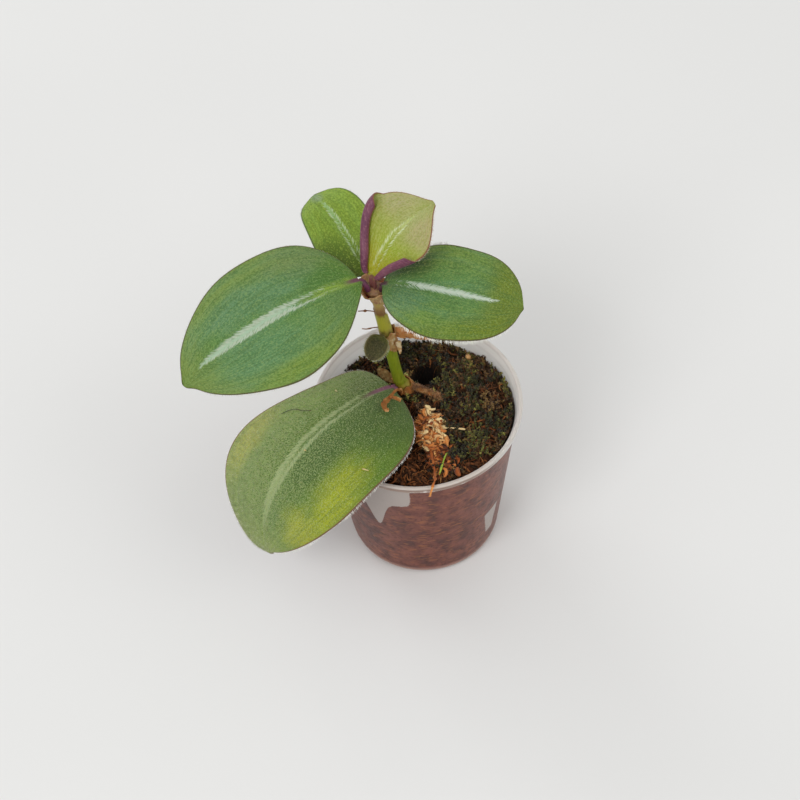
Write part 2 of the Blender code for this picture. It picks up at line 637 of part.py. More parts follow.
def node_sheath():
    """The papery remains round the middle node, with the shrivelled old blade reaching right."""
    papery = material("papery_tan_sheath", "b59a62", 0.8)
    facing = (0.1, -0.5, 0.8)
    made = sleeve("node_sheath", 74.5, 82.6, -96.0, 128.0, 0.25, papery, 2.4)
    blade_route = [
        (-5.6, 11.5, 81.3), (-3.2, 11.3, 81.0), (0.1, 11.5, 79.4), (3.4, 11.6, 77.4), (5.8, 11.5, 76.2)]
    blade = ribbon(blade_route, (4.4, 5.6, 3.6, 1.8, 0.6), papery, facing)
    tail_route = [(-4.7, 9.4, 79.2), (-4.3, 9.0, 76.7), (-4.2, 8.7, 73.8)]
    tail = ribbon(tail_route, (1.8, 1.5, 0.7), papery, (0.3, -1.0, 0.0), 5)
    return boolean(made, [blade, tail], "UNION")


def base_sheath(ground):
    """The brown dry collar at the soil, with a fuzzy tail to the right and curled strips to the left."""
    dry = material("dry_brown_sheath", "96602f", 0.85)
    made = sleeve("base_sheath", 56.1, 58.3, -112.0, 158.0, 0.2, dry, 0.7)
    tail_route = [(-0.7, 8.1), (1.2, 7.4), (3.6, 6.4), (6.4, 4.8), (8.0, 3.6)]
    tail_lifts = (2.4, 2.1, 1.7, 1.2, 1.0)
    tail_points = [(x, y, ground(x, y) + lift) for (x, y), lift in zip(tail_route, tail_lifts)]
    tail = tube("tail", curve_through(tail_points, 9), (0.5, 0.9, 1.15, 1.2, 1.1, 0.9, 0.7, 0.5, 0.3), 6, dry)
    scrap_route = [
        (-6.0, 11.2, 56.5), (-7.2, 12.2, 56.5), (-8.6, 13.1, 56.8), (-10.1, 14.2, 57.6), (-11.4, 15.5, 58.4)]
    scrap = ribbon(scrap_route, (1.6, 2.6, 3.0, 2.6, 1.2), dry, (0.2, -0.6, 0.8))
    curl = [
        (-4.7, 5.4, 57.8), (-4.6, 4.5, 60.6), (-5.2, 3.3, 63.0), (-6.6, 1.9, 64.2), (-8.0, -0.3, 64.7),
        (-9.1, -2.0, 65.3), (-9.9, -3.4, 65.9), (-10.3, -5.0, 66.3), (-9.8, -6.7, 66.6), (-8.9, -7.3, 66.9)]
    strip = ribbon(curl, (1.3, 1.2, 1.1, 1.2, 1.4, 1.6, 1.5, 1.2, 0.8), dry, (0.2, -0.4, 0.9), 19)
    prong_route = [(-8.3, -0.9, 65.0), (-6.8, -1.5, 65.3), (-5.0, -2.1, 64.6)]
    prong = ribbon(prong_route, (0.9, 1.2, 1.3), dry, (0.1, -0.5, 0.8), 5)
    return boolean(made, [tail, scrap, strip, prong], "UNION")


def dry_moss(ground):
    """A low clump of dead moss strands that lies on the filling, with one strand over the rim."""
    tan = material("dead_sphagnum", "b97b45", 0.9)
    turns = np.arange(15) * 2 * math.pi / 15
    shares = (1.0, 0.72, 0.4)
    rings = []
    for above in (False, True):
        for share in (shares if not above else tuple(reversed(shares))):
            ring = []
            for turn in turns:
                ragged = 1 + 0.12 * math.sin(5 * turn + 1)
                x = CLUMP_CENTRE[0] + 0.8 * share * ragged * CLUMP_HALF_SIZE[0] * math.cos(turn)
                y = CLUMP_CENTRE[1] + 0.9 * share * ragged * CLUMP_HALF_SIZE[1] * math.sin(turn)
                lift = CLUMP_LIFT + (0.7 + 0.8 * (1 - share ** 2) + 0.25 * math.sin(7 * turn) if above else 0)
                ring.append((x, y, ground(x, y) + lift))
            rings.append(ring)
    rings = np.array(rings[2::-1] + rings[3:][::-1])
    count = len(turns)
    points = np.concatenate([rings.reshape(-1, 3), [[*CLUMP_CENTRE, ground(*CLUMP_CENTRE) + lift]
                                                    for lift in (CLUMP_LIFT, 2.3)]])
    faces = grid_faces(len(rings), count, wrap=True)
    last = (len(rings) - 1) * count
    for j in range(count):
        following = (j + 1) % count
        faces += [(len(points) - 2, following, j), (len(points) - 1, last + j, last + following)]
    core = solid("dry_moss", points, faces, tan, smooth=False)
    draw = random.Random(21)
    strands = []
    for _ in range(CLUMP_STRANDS):
        turn = draw.uniform(0, 2 * math.pi)
        share = draw.uniform(0.15, 0.8)
        x = CLUMP_CENTRE[0] + share * 0.75 * CLUMP_HALF_SIZE[0] * math.cos(turn)
        y = CLUMP_CENTRE[1] + share * 0.85 * CLUMP_HALF_SIZE[1] * math.sin(turn)
        way = turn + draw.uniform(-1.2, 1.2)
        length = draw.uniform(2.2, 4.4)
        bend = draw.uniform(-0.9, 0.9)
        route = []
        for part, lift in ((0, 1.15), (0.4, 2.4), (0.75, 2.5), (1, 1.5)):
            px = x + length * part * math.cos(way + bend * part)
            py = y + length * part * math.sin(way + bend * part)
            route.append((px, py, ground(px, py) + lift + draw.uniform(0, 0.5)))
        strands.append(tube("strand", route, (0.5, 0.48, 0.42, 0.2), 4, tan, (0.1, 0.05, 1.0)))
    pale = [(6.0, -8.6), (8.6, -8.8), (11.4, -9.4), (14.0, -9.2)]
    pale = [(x, y, ground(x, y) + lift) for (x, y), lift in zip(pale, (1.0, 1.9, 1.8, 1.3))]
    strands.append(tube("strand", curve_through(pale, 6), np.linspace(0.5, 0.3, 6), 4, tan, (0.1, 0.05, 1.0)))
    over = [(3.0, -15.0, ground(3.0, -15.0) + 1.0), (3.0, -19.0, ground(3.0, -19.0) + 1.5),
            (3.4, -24.0, ground(3.4, -24.0) + 1.4), (3.6, -27.6, 59.2), (3.3, -30.6, 61.2),
            (2.6, -32.6, 61.3), (2.1, -33.9, 59.9), (1.9, -34.0, 58.6)]
    over = curve_through(over, 14)
    strands.append(tube("strand", over, np.linspace(0.45, 0.35, 14), 4, tan, (1.0, 0.05, 0.1)))
    return boolean(core, strands, "UNION")


def green_sprig(ground):
    """One bright green blade whose root stands in a hole in the filling."""
    green = material("green_sprig", "8fb548", 0.5)
    level = ground(8.0, -18.0)
    route = [(8.1, -17.8, level - 1.4), (8.0, -18.0, level + 0.9), (7.2, -20.2, level + 2.1),
             (6.4, -23.0, level + 2.8), (5.6, -25.6, level + 2.9), (5.1, -27.4, level + 2.6)]
    line = curve_through(route, 12)
    return tube("green_sprig", line, np.linspace(0.42, 0.3, 12), 5, green, (1.0, 0.1, 0.05))


def grain(name, place, radius, ground, finish):
    """A small round grain that lies on the filling."""
    x, y = place
    work = bmesh.new()
    bmesh.ops.create_icosphere(work, subdivisions=2, radius=radius * MM)
    mesh = bpy.data.meshes.new(name)
    work.to_mesh(mesh)
    work.free()
    mesh.materials.append(finish)
    mesh.shade_smooth()
    made = bpy.data.objects.new(name, mesh)
    rest = max(ground(x + dx, y + dy) for dx in (-0.4, 0, 0.4) for dy in (-0.4, 0, 0.4))
    made.location = (x * MM, y * MM, (rest + radius + GAP) * MM)
    bpy.context.scene.collection.objects.link(made)
    return made


def substrate():
    """The filling with its moss and fibres, a root-shaped hollow for the plant and a hole for the sprig."""
    earth = material("coir_and_moss", "3b2a1c", 0.95)
    body = soil_body(earth)
    ground = surface_of(body)
    boolean(body, moss_and_fibres(ground, earth), "UNION")
    hollow = stem_with_roots("hollow", earth, grow=GAP)
    level = ground(8.0, -18.0)
    hole = tube("hole", [(8.1, -17.8, level - 2.0), (8.1, -17.8, level), (8.1, -17.8, level + 2.0)],
                1.0, 8, earth, (1.0, 0.1, 0.05))
    boolean(body, [hollow, hole], "DIFFERENCE")
    return ground


def build():
    clear_scene()
    pot()
    ground = substrate()
    stem_with_roots("stem", material("green_stem", "86923c", 0.6))
    left_leaf()
    right_leaf()
    low_leaf()
    back_leaf()
    young_leaf()
    small_leaf()
    node_sheath()
    base_sheath(ground)
    dry_moss(ground)
    green_sprig(ground)
    grain("pale_bead", (-2.0, 26.6), 0.6, ground, material("pale_bead", "d8d2c4", 0.5))
    grain("tan_bead", (16.9, 20.3), 0.85, ground, material("tan_bead", "b98a54", 0.6))


build()
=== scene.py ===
"""Looks of the potted brown spiderwort: fine leaves, stem, dry sheaths, frosted pot and mossy filling.

Shapes are worked out in millimetres and written in metres. +Z is up, +X to the right and +Y to the back.
Leaf angles are in degrees: a heading of 0 points along +X and 90 along +Y, and a pitch above 0 points
upwards.
"""

import math

import bpy
import numpy as np
from mathutils import Matrix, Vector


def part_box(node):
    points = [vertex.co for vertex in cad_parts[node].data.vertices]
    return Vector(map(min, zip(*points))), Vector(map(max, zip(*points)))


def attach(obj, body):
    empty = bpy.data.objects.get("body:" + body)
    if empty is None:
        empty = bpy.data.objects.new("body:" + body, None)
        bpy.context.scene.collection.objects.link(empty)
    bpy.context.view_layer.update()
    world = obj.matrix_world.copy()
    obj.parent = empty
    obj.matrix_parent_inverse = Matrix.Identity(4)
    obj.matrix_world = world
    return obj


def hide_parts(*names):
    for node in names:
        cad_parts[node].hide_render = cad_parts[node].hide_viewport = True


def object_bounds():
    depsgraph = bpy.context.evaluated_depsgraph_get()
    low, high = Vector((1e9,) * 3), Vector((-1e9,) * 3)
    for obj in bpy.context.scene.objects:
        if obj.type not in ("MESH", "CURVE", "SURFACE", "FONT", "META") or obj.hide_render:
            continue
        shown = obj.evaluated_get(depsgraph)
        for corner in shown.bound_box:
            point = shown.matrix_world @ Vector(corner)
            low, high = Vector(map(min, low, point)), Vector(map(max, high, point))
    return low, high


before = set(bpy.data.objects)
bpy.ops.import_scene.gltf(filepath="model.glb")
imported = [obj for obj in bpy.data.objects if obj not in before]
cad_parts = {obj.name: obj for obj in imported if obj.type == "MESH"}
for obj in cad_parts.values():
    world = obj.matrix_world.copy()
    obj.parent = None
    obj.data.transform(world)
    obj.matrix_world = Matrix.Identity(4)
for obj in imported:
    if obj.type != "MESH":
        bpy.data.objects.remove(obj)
cad_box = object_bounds()

MM = 0.001
LOWEST = np.array(cad_box[0]) / MM
HIGHEST = np.array(cad_box[1]) / MM

# Pot and filling, mm, as in the part
POT_HEIGHT = 60.0
RIM_RADIUS = 32.5
RIM_DEPTH = 2.4
WALL_TOP_RADIUS = 31.0
WALL_FOOT_RADIUS = 24.0
FOOT_HEIGHT = 2.4
BASE_RADIUS = 21.8
WALL = 0.8
FLOOR = 1.0
DRAIN_HOLES = 5
DRAIN_RADIUS = 2.0
DRAIN_RING = 14.0
SOIL_MID_LEVEL = 54.6
SOIL_TILT = 2.4
MOUND = 1.2

# Filling's finer form, mm
BRIM_LEVEL = 54.0
FILLING_GAP = 0.42
HOLE = (3.4, 15.2)
HOLE_DEPTH = 4.6

# Stem, mm, as in the part
STEM_POINTS = (
    (-3.4, 8.6, 40.0), (-3.5, 8.7, 48.0), (-3.6, 8.9, 53.5), (-3.8, 9.1, 56.6), (-4.9, 9.4, 59.2),
    (-5.6, 9.7, 62.5), (-6.4, 10.2, 68.0), (-7.0, 10.8, 73.5), (-7.6, 11.3, 78.0), (-8.1, 11.7, 82.0),
    (-8.6, 12.1, 86.0), (-9.3, 12.6, 90.4), (-9.6, 12.9, 93.4), (-10.1, 13.3, 96.6),
    (-10.35, 13.55, 98.3), (-10.4, 13.6, 99.8),
)
STEM_RADII = (1.5, 2.2, 2.6, 2.6, 1.95, 1.8, 1.75, 1.85, 2.1, 2.15, 2.0, 1.85, 1.65, 1.9, 2.45, 3.1)
ROOT_COUNT = 5
ROOT_LENGTH = 30.0
ROOT_RADIUS = 0.8
CROWN = (-10.4, 13.6, 99.8)
CROWN_RADIUS = 3.1
CROWN_SEAT_RING = 1.75
SEAT_RISE = 0.6

# Stem's finer form: the middle of its foot, then heights, mm
STEM_FOOT = (-3.8, 9.1)
CROWN_SCAR = 91.8
FOOT_SCAR = 60.3
FUNNEL_FOOT = 95.6
FUNNEL_BRIM = 99.7

# Leaves, mm
WIDTH_STATIONS = np.array([0.1, 0.3, 0.5, 0.7, 0.9])
TIP_HALF_WIDTH = 0.3
RIB_HALF_WIDTH = 1.1
ROLL_RADIUS = 1.15
STALK_ROWS = 18
STRIP_STEPS = 14
BLADE_THICKNESS = 0.62
EDGE_THICKNESS = 0.34
KEEL = 0.75
CHANNEL = 14.0

# Camera, matched to the photo: degrees, pixels of the 800 pixel frame and metres
ELEVATION = 54.7
ROLL = -4.0
FOCAL_PIXELS = 2353.0
FRAME_PIXELS = 800.0
PHOTO_MIDDLE = (421.4, 458.7)
AIM_HEIGHT = 0.03
DISTANCE = 0.75


# Shapes

def unit(vectors):
    """Each vector over its own length."""
    return vectors / np.maximum(np.linalg.norm(vectors, axis=-1, keepdims=True), 1e-9)


def noise(points, size, seed=0):
    """Smooth values from -1 to 1: random numbers on a grid of that spacing, blended by 3 f^2 - 2 f^3."""
    place = np.asarray(points, float) / size + 512.0
    cell = np.floor(place).astype(np.int64)
    share = place - cell
    share = share * share * (3 - 2 * share)
    total = np.zeros(place.shape[:-1])
    for corner in range(8):
        ahead = np.array([corner & 1, (corner >> 1) & 1, (corner >> 2) & 1])
        key = (cell + ahead) @ np.array([73856093, 19349663, 83492791]) + seed * 2654435761
        key = (key ^ (key >> 15)) * 2246822519 & 0xFFFFFFFF
        key = (key ^ (key >> 13)) * 3266489917 & 0xFFFFFFFF
        value = ((key ^ (key >> 16)) & 0xFFFF) / 32767.5 - 1
        total += value * np.prod(np.where(ahead, share, 1 - share), axis=-1)
    return total


def layered_noise(points, size, seed=0, layers=3):
    """Noise of several sizes, each half as wide and half as strong as the one before."""
    return sum(noise(points, size / 2 ** i, seed + i) / 2 ** i for i in range(layers))


def curve_through(points, count):
    """Points at even steps of a Catmull-Rom curve through the given ones."""
    points = np.asarray(points, float)
    padded = np.vstack([2 * points[0] - points[1], points, 2 * points[-1] - points[-2]])
    place = np.linspace(0, len(points) - 1, count)
    span = np.minimum(place.astype(int), len(points) - 2)
    t = (place - span)[:, None]
    a, b, c, d = (padded[span + i] for i in range(4))
    bend = 2 * a - 5 * b + 4 * c - d
    twist = 3 * b - a - 3 * c + d
    return 0.5 * (2 * b + (c - a) * t + bend * t ** 2 + twist * t ** 3)


def shell_faces(rows, columns):
    """Outward quads of a ring of points carried along rows, with a strip of quads over each end."""
    j = np.arange(columns)
    start = np.arange(rows - 1)[:, None] * columns
    a = start + j
    b = start + (j + 1) % columns
    sides = np.stack([a, b, b + columns, a + columns], axis=-1).reshape(-1, 4)
    k = np.arange(columns // 2 - 1)
    first = np.stack([k + 1, k, columns - 1 - k, columns - 2 - k], axis=-1)
    last = first[:, ::-1] + (rows - 1) * columns
    return np.concatenate([sides, first, last])


def turns(count):
    """Angles in even steps round a full turn."""
    return np.arange(count) * 2 * math.pi / count


def around(across, upward, count):
    """Directions in even steps round each line: cos(turn) across it plus sin(turn) upward."""
    turn = turns(count)[:, None]
    return np.cos(turn) * across[..., None, :] + np.sin(turn) * upward[..., None, :]


def turned(radius, turn, height):
    """Points at a radius, a turn and a height about the pot's axis."""
    return np.stack([radius * np.cos(turn), radius * np.sin(turn), height + 0 * radius * turn], axis=-1)


def level_ways(turn, share):
    """Level directions on a grid: one turn to a column, the same in every row."""
    return np.stack([np.cos(turn) + 0 * share, np.sin(turn) + 0 * share, 0 * turn + 0 * share], axis=-1)


def looped_faces(rows, columns):
    """Outward quads of rings carried along rows, whose last row joins the first."""
    j = np.arange(columns)
    start = np.arange(rows)[:, None] * columns
    beside, ahead = (j + 1) % columns, np.roll(start, -1, axis=0)
    return np.stack([start + j, start + beside, ahead + beside, ahead + j], axis=-1).reshape(-1, 4)


def repeated(block, count, size):
    """The faces of one shape with that many points, for each of many."""
    return (block + (np.arange(count) * size)[:, None, None]).reshape(-1, block.shape[1])


def rods(lines, radii, sides=4, flat=1.0, twist=None):
    """Closed rods along many lines at once: a ring of points about each point of each line.

    The ring is cos(turn) across the line and sin(turn) at right angles to both, times the radius.
    flat squeezes the second part, and twist turns each ring about its line. Returns points and faces."""
    lines = np.asarray(lines, float)
    count, steps = lines.shape[:2]
    along = unit(np.gradient(lines, axis=1))
    steep = np.abs(along[..., 2].mean(axis=1)) > 0.75
    reference = np.where(steep[:, None], [0.93, 0.31, 0.2], [0.11, 0.07, 0.99])[:, None]
    across = unit(np.cross(along, reference))
    upward = np.cross(along, across)
    if twist is not None:
        twist = twist[..., None]
        across, upward = (np.cos(twist) * across + np.sin(twist) * upward,
                          np.cos(twist) * upward - np.sin(twist) * across)
    radii = np.broadcast_to(np.asarray(radii, float), (count, steps))
    points = lines[:, :, None] + radii[:, :, None, None] * around(across, upward * flat, sides)
    return points.reshape(-1, 3), repeated(shell_faces(steps, sides), count, steps * sides)


def spikes(roots, directions, lengths, radius):
    """Straight hairs: a three-cornered foot across each direction and a tip at its length."""
    directions = unit(directions)
    across = unit(np.cross(directions, [0.31, 0.19, 0.93]))
    foot = roots[:, None] + radius * around(across, np.cross(directions, across), 3)
    tip = roots + directions * np.asarray(lengths)[:, None]
    points = np.concatenate([foot, tip[:, None]], axis=1).reshape(-1, 3)
    return points, repeated(np.array([[0, 1, 3], [1, 2, 3], [2, 0, 3], [2, 1, 0]]), len(roots), 4)


def joined(*shapes):
    """Several (points, faces) as one."""
    starts = np.cumsum([0] + [len(points) for points, _ in shapes])
    faces = [faces + start for (_, faces), start in zip(shapes, starts)]
    return np.concatenate([points for points, _ in shapes]), np.concatenate(faces)


def mark_points(mesh, marks):
    """Writes named values for each point, single or threefold, for a finish to read."""
    for mark, values in marks.items():
        values = np.asarray(values, np.float32)
        threefold = values.ndim == 2
        layer = mesh.attributes.new(mark, "FLOAT_VECTOR" if threefold else "FLOAT", "POINT")
        layer.data.foreach_set("vector" if threefold else "value", values.ravel())


def piece(name, points, faces, finish, node, marks=None, smooth=True):
    """A finished piece on the root body, from points in mm, kept inside the part's box.

    node is the part's node that it stands for, and marks are values for each point by name."""
    points = np.clip(points, LOWEST, HIGHEST) * MM
    mesh = bpy.data.meshes.new(name)
    mesh.vertices.add(len(points))
    mesh.vertices.foreach_set("co", points.astype(np.float32).ravel())
    mesh.loops.add(faces.size)
    mesh.loops.foreach_set("vertex_index", faces.astype(np.int32).ravel())
    mesh.polygons.add(len(faces))
    mesh.polygons.foreach_set("loop_start", np.arange(len(faces), dtype=np.int32) * faces.shape[1])
    mesh.update(calc_edges=True)
    mesh.polygons.foreach_set("use_smooth", np.full(len(faces), smooth))
    mark_points(mesh, marks or {})
    mesh.validate()
    mesh.materials.append(finish)
    made = bpy.data.objects.new(name, mesh)
    bpy.context.scene.collection.objects.link(made)
    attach(made, "root")
    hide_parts(node)
    return made


# Finishes

def linear(hex_colour):
    """Linear colour from an sRGB hex value."""
    srgb = np.array([int(hex_colour[i:i + 2], 16) for i in (1, 3, 5)]) / 255.0
    return (*np.where(srgb <= 0.04045, srgb / 12.92, ((srgb + 0.055) / 1.055) ** 2.4).tolist(), 1.0)


def wire(tree, node, inputs):
    """Sets a node's inputs: a value is written, and a socket or a node's first output is linked."""
    for socket, value in dict(inputs).items():
        if isinstance(value, bpy.types.Node):
            value = value.outputs[0]
        if isinstance(value, bpy.types.NodeSocket):
            tree.links.new(value, node.inputs[socket])
        else:
            node.inputs[socket].default_value = value


def add(tree, kind, inputs=(), stops=(), **settings):
    """Adds a node with its settings, values and links. stops are (place, colour) of a colour ramp."""
    node = tree.nodes.new("ShaderNode" + kind)
    for name, value in settings.items():
        setattr(node, name, value)
    for number, (place, colour) in enumerate(stops):
        ramp = node.color_ramp.elements
        element = ramp[number] if number < 2 else ramp.new(place)
        element.position = place
        element.color = linear(colour)
    wire(tree, node, inputs)
    return node


def new_finish(name, values):
    """A material, its node tree and its Principled shader, with the values that are the same all over."""
    made = bpy.data.materials.new(name)
    made.use_nodes = True
    shader = made.node_tree.nodes["Principled BSDF"]
    wire(made.node_tree, shader, values)
    return made, made.node_tree, shader


def painted(tree, ground, layers):
    """Lays each colour over what is below it, as strongly as its mask says."""
    ground = linear(ground) if isinstance(ground, str) else ground
    for mask, colour in layers:
        colour = linear(colour) if isinstance(colour, str) else colour
        ground = add(tree, "Mix", {0: mask, 6: ground, 7: colour}, data_type="RGBA").outputs[2]
    return ground


def soft_masks(tree, rows):
    """Masks by name: each rises softly from 0 at its source's first value to its strength at the second."""
    return {
        name: add(tree, "MapRange", {"Value": source, "From Min": low, "From Max": high, "To Max": strength},
                  interpolation_type="SMOOTHSTEP")
        for name, source, low, high, strength in rows}


def both_masks(tree, mask, rows):
    """Adds masks that show only where two others do: rows are (name, one, other)."""
    for name, one, other in rows:
        mask[name] = add(tree, "Math", {0: mask[one], 1: mask[other]}, operation="MULTIPLY")


def leaf_finish(name, colours, roughness=0.5, sheen=0.06, dust=0.0, dust_and_light_lean=(0.0, 0.0, 0.0), spots=(),
                vein=0.45, purple_rib=0.1, base_reach=(0.3, 0.03), tip_reach=(0.76, 0.99)):
    """Living leaf skin: soft satin over fine lengthwise veins, a silver stripe along the midrib, a dark
    margin line and a purple underside.

    colours are hex values by the place that they colour. dust is the strength of the pale specks that
    short down makes, and the lean after it says how much thicker they get along the blade and to its
    left; where it leans across the blade it is also painted light on the half that faces the lamp.
    spots are ovals (mm left of the midrib, mm along it, half width, half length, colour, strength).
    purple_rib is the share of the length over which the midrib is as purple as the stalk, and the reaches
    are the shares where the base's and the tip's colours start and are full."""
    made, tree, shader = new_finish(name, {
        "IOR": 1.4, "Sheen Weight": sheen, "Sheen Roughness": 0.4, "Subsurface Weight": 0.06,
        "Subsurface Scale": 0.002})
    place, marks, under = (
        add(tree, "Attribute", attribute_name=mark).outputs[output]
        for mark, output in (("blade", "Vector"), ("marks", "Vector"), ("under", "Fac")))
    across, along, edge = add(tree, "SeparateXYZ", {0: place}).outputs
    stripe, whole, share = add(tree, "SeparateXYZ", {0: marks}).outputs
    spread, off_rib = (add(tree, "Math", {0: source}, operation="ABSOLUTE") for source in (share, across))

    # Patches 9 mm wide, cells 0.7 mm and specks of down 0.4 mm
    broad, cells, specks = (
        add(tree, "TexNoise", {"Vector": place, "Scale": scale, "Detail": detail})
        for scale, detail in ((0.11, 3.0), (1.5, 3.0), (2.3, 2.0)))
    # Veins 26 to a half blade, and barbs that run forward and outward, 0.5 mm apart and 1.2 mm long
    slanted = add(tree, "Math", {0: off_rib, 1: -1.3, 2: along}, operation="MULTIPLY_ADD")
    barbed = add(tree, "CombineXYZ", {0: across, 1: slanted})
    veins, bands, feather = (
        add(tree, "TexNoise", {
            "Vector": add(tree, "VectorMath", {0: source, 1: stretch}, operation="MULTIPLY"),
            "Scale": 1.0, "Detail": detail})
        for source, stretch, detail in (
            (marks, (0.0, 5.0, 26.0), 2.0), (marks, (0.0, 2.2, 5.0), 1.0), (barbed, (0.8, 1.9, 0.0), 3.0)))
    leant = add(tree, "VectorMath", {0: marks, 1: dust_and_light_lean}, operation="DOT_PRODUCT").outputs["Value"]
    dusty = add(tree, "Math", {0: specks, 1: leant}, operation="ADD")
    wavy_stripe = add(tree, "Math", {0: feather, 1: 3.0, 2: stripe}, operation="MULTIPLY_ADD")
    wavy_spread = add(tree, "Math", {0: broad, 1: 0.5, 2: spread}, operation="MULTIPLY_ADD")
    mask = soft_masks(tree, (
        ("outer", wavy_spread, 0.35, 1.15, 1.0), ("cool", bands, 0.46, 0.66, 0.5),
        ("blotch", broad, 0.4, 0.7, 0.35), ("base", whole, *base_reach, 0.85),
        ("tip", whole, *tip_reach, 0.8), ("vein", veins, 0.42, 0.66, vein), ("cell", cells, 0.5, 0.66, 0.5),
        ("pit", cells, 0.5, 0.36, 0.5), ("stripe", wavy_stripe, 1.2, 2.15, 0.86),
        ("streak", feather, 0.52, 0.38, 0.55), ("core", off_rib, 0.75, 0.25, 0.8),
        ("margin", edge, 0.5, 0.12, 0.9), ("dust", dusty, 0.5, 0.62, dust),
        ("stalk", whole, 0.05, -0.22, 0.95), ("rib", off_rib, 1.0, 0.45, 0.9),
        ("start", whole, purple_rib, 0.25 * purple_rib, 1.0), ("under", under, 0.3, 0.7, 1.0)))
    both_masks(tree, mask, (
        ("rib in stripe", "core", "stripe"), ("stripe grain", "streak", "stripe"), ("flush", "rib", "start")))

    ovals = []
    for across_by, along_by, half_width, half_length, colour, strength in spots:
        moved = add(tree, "VectorMath", {0: place, 1: (across_by, along_by, 0.0)}, operation="SUBTRACT")
        sized = add(tree, "VectorMath", {0: moved, 1: (1 / half_width, 1 / half_length, 0.0)},
                    operation="MULTIPLY")
        away = add(tree, "VectorMath", {0: sized}, operation="LENGTH").outputs["Value"]
        torn = add(tree, "Math", {0: broad, 1: -1.0, 2: away}, operation="MULTIPLY_ADD")
        ovals.append((soft_masks(tree, (("near", torn, 0.7, -0.25, strength),))["near"], colour))
    broadly = [(mask[part], colours[part]) for part in ("outer", "cool", "blotch", "base", "tip")]
    finely = [(mask[part], colours[colour]) for part, colour in (
        ("vein", "vein"), ("cell", "light"), ("pit", "vein"), ("stripe", "stripe"), ("stripe grain", "cool"),
        ("rib in stripe", "core"), ("dust", "dust"), ("flush", "stalk"), ("margin", "margin"),
        ("stalk", "stalk"))]
    below = painted(tree, colours["under"], [(mask[part], colours[colour]) for part, colour in (
        ("vein", "under_vein"), ("cell", "under_light"), ("blotch", "under_light"), ("margin", "margin"),
        ("stalk", "stalk"))])
    top = painted(tree, colours["inner"], broadly + ovals + finely)
    height = add(tree, "Math", {0: veins, 1: 0.7, 2: cells}, operation="MULTIPLY_ADD")
    wire(tree, shader, {
        "Base Color": painted(tree, top, [(mask["under"], below)]),
        "Roughness": add(tree, "MapRange", {
            "Value": cells, "From Min": 0.3, "From Max": 0.7, "To Min": roughness - 0.06,
            "To Max": roughness + 0.1}),
        "Normal": add(tree, "Bump", {"Strength": 0.35, "Distance": 0.00012, "Height": height})})
    return made


def hair_finish(name, ground, pale, see_through=0.1):
    """Plant hair: a clear pale thread with a faint shine, paler in places."""
    made, tree, shader = new_finish(name, {
        "Roughness": 0.45, "IOR": 1.5, "Transmission Weight": see_through, "Sheen Weight": 0.2})
    where = add(tree, "TexCoord").outputs["Object"]
    mottle = add(tree, "TexNoise", {"Vector": where, "Scale": 700.0, "Detail": 1.0})
    mask = soft_masks(tree, (("pale", mottle, 0.35, 0.65, 1.0),))
    wire(tree, shader, {"Base Color": painted(tree, ground, [(mask["pale"], pale)])})
    return made


# Leaves

def half_widths(t, widths):
    """Half widths: 2 sqrt(t (1 - t)) rounds both ends, and a curve through the widths swells it."""
    rounded = 2 * np.sqrt(WIDTH_STATIONS * (1 - WIDTH_STATIONS))
    fullness = np.polyfit(WIDTH_STATIONS, np.array(widths) / rounded, len(WIDTH_STATIONS) - 1)
    return 2 * np.sqrt(np.clip(t * (1 - t), 0, None)) * np.polyval(fullness, t)


def blade_line(t, base, length, pitch, heading, droop, late_droop, sweep):
    """The midrib: steps along a direction whose pitch and heading change along the blade."""
    up = np.radians(pitch - droop * t - late_droop * t ** 2)
    turn = np.radians(heading + sweep * t)
    along = np.stack([np.cos(up) * np.cos(turn), np.cos(up) * np.sin(turn), np.sin(up)], axis=-1)
    steps = (along[1:] + along[:-1]) / 2 * (length * np.diff(t))[:, None]
    line = np.array(base) + np.vstack([np.zeros(3), np.cumsum(steps, axis=0)])
    level = np.stack([-np.sin(turn), np.cos(turn), np.zeros(len(t))], axis=-1)
    return line, along, level


def stalk_line(seat, seat_direction, base, direction):
    """A cubic curve from the seat on the stem to the start of the blade."""
    seat, base = np.array(seat), np.array(base)
    reach = np.linalg.norm(base - seat) * 0.4
    pull = seat + reach * unit(np.array(seat_direction, float))
    push = base - reach * direction
    u = np.linspace(0, 1, STALK_ROWS + 1)[:-1, None]
    return (1 - u) ** 3 * seat + 3 * (1 - u) ** 2 * u * pull + 3 * (1 - u) * u ** 2 * push + u ** 3 * base


def half_section(width, fold, curl, shares, roll, grown):
    """One side of every cross-section: offsets from the midrib, sideways and up, and the surface's angle.

    The surface leaves the midrib at the fold angle and bends by the curl towards its margin. Where a roll
    is given, a strip past the margin turns inwards by that angle in a round scroll."""
    angle = fold[:, None] + curl[:, None] * shares
    place = width[:, None] * shares
    if roll is not None:
        strip = np.maximum(ROLL_RADIUS * (0.55 + 0.45 * grown) * roll, 0.15 + 0.55 * grown)
        q = np.linspace(0, 1, STRIP_STEPS + 1)[1:]
        angle = np.hstack([angle, angle[:, -1:] + roll[:, None] * q])
        place = np.hstack([place, place[:, -1:] + strip[:, None] * q])
    middle = (angle[:, 1:] + angle[:, :-1]) / 2
    step = np.diff(place, axis=1)
    start = np.zeros((len(width), 1))
    sideways = np.hstack([start, np.cumsum(np.cos(middle) * step, axis=1)])
    up = np.hstack([start, np.cumsum(np.sin(middle) * step, axis=1)])
    return sideways, up, angle, place


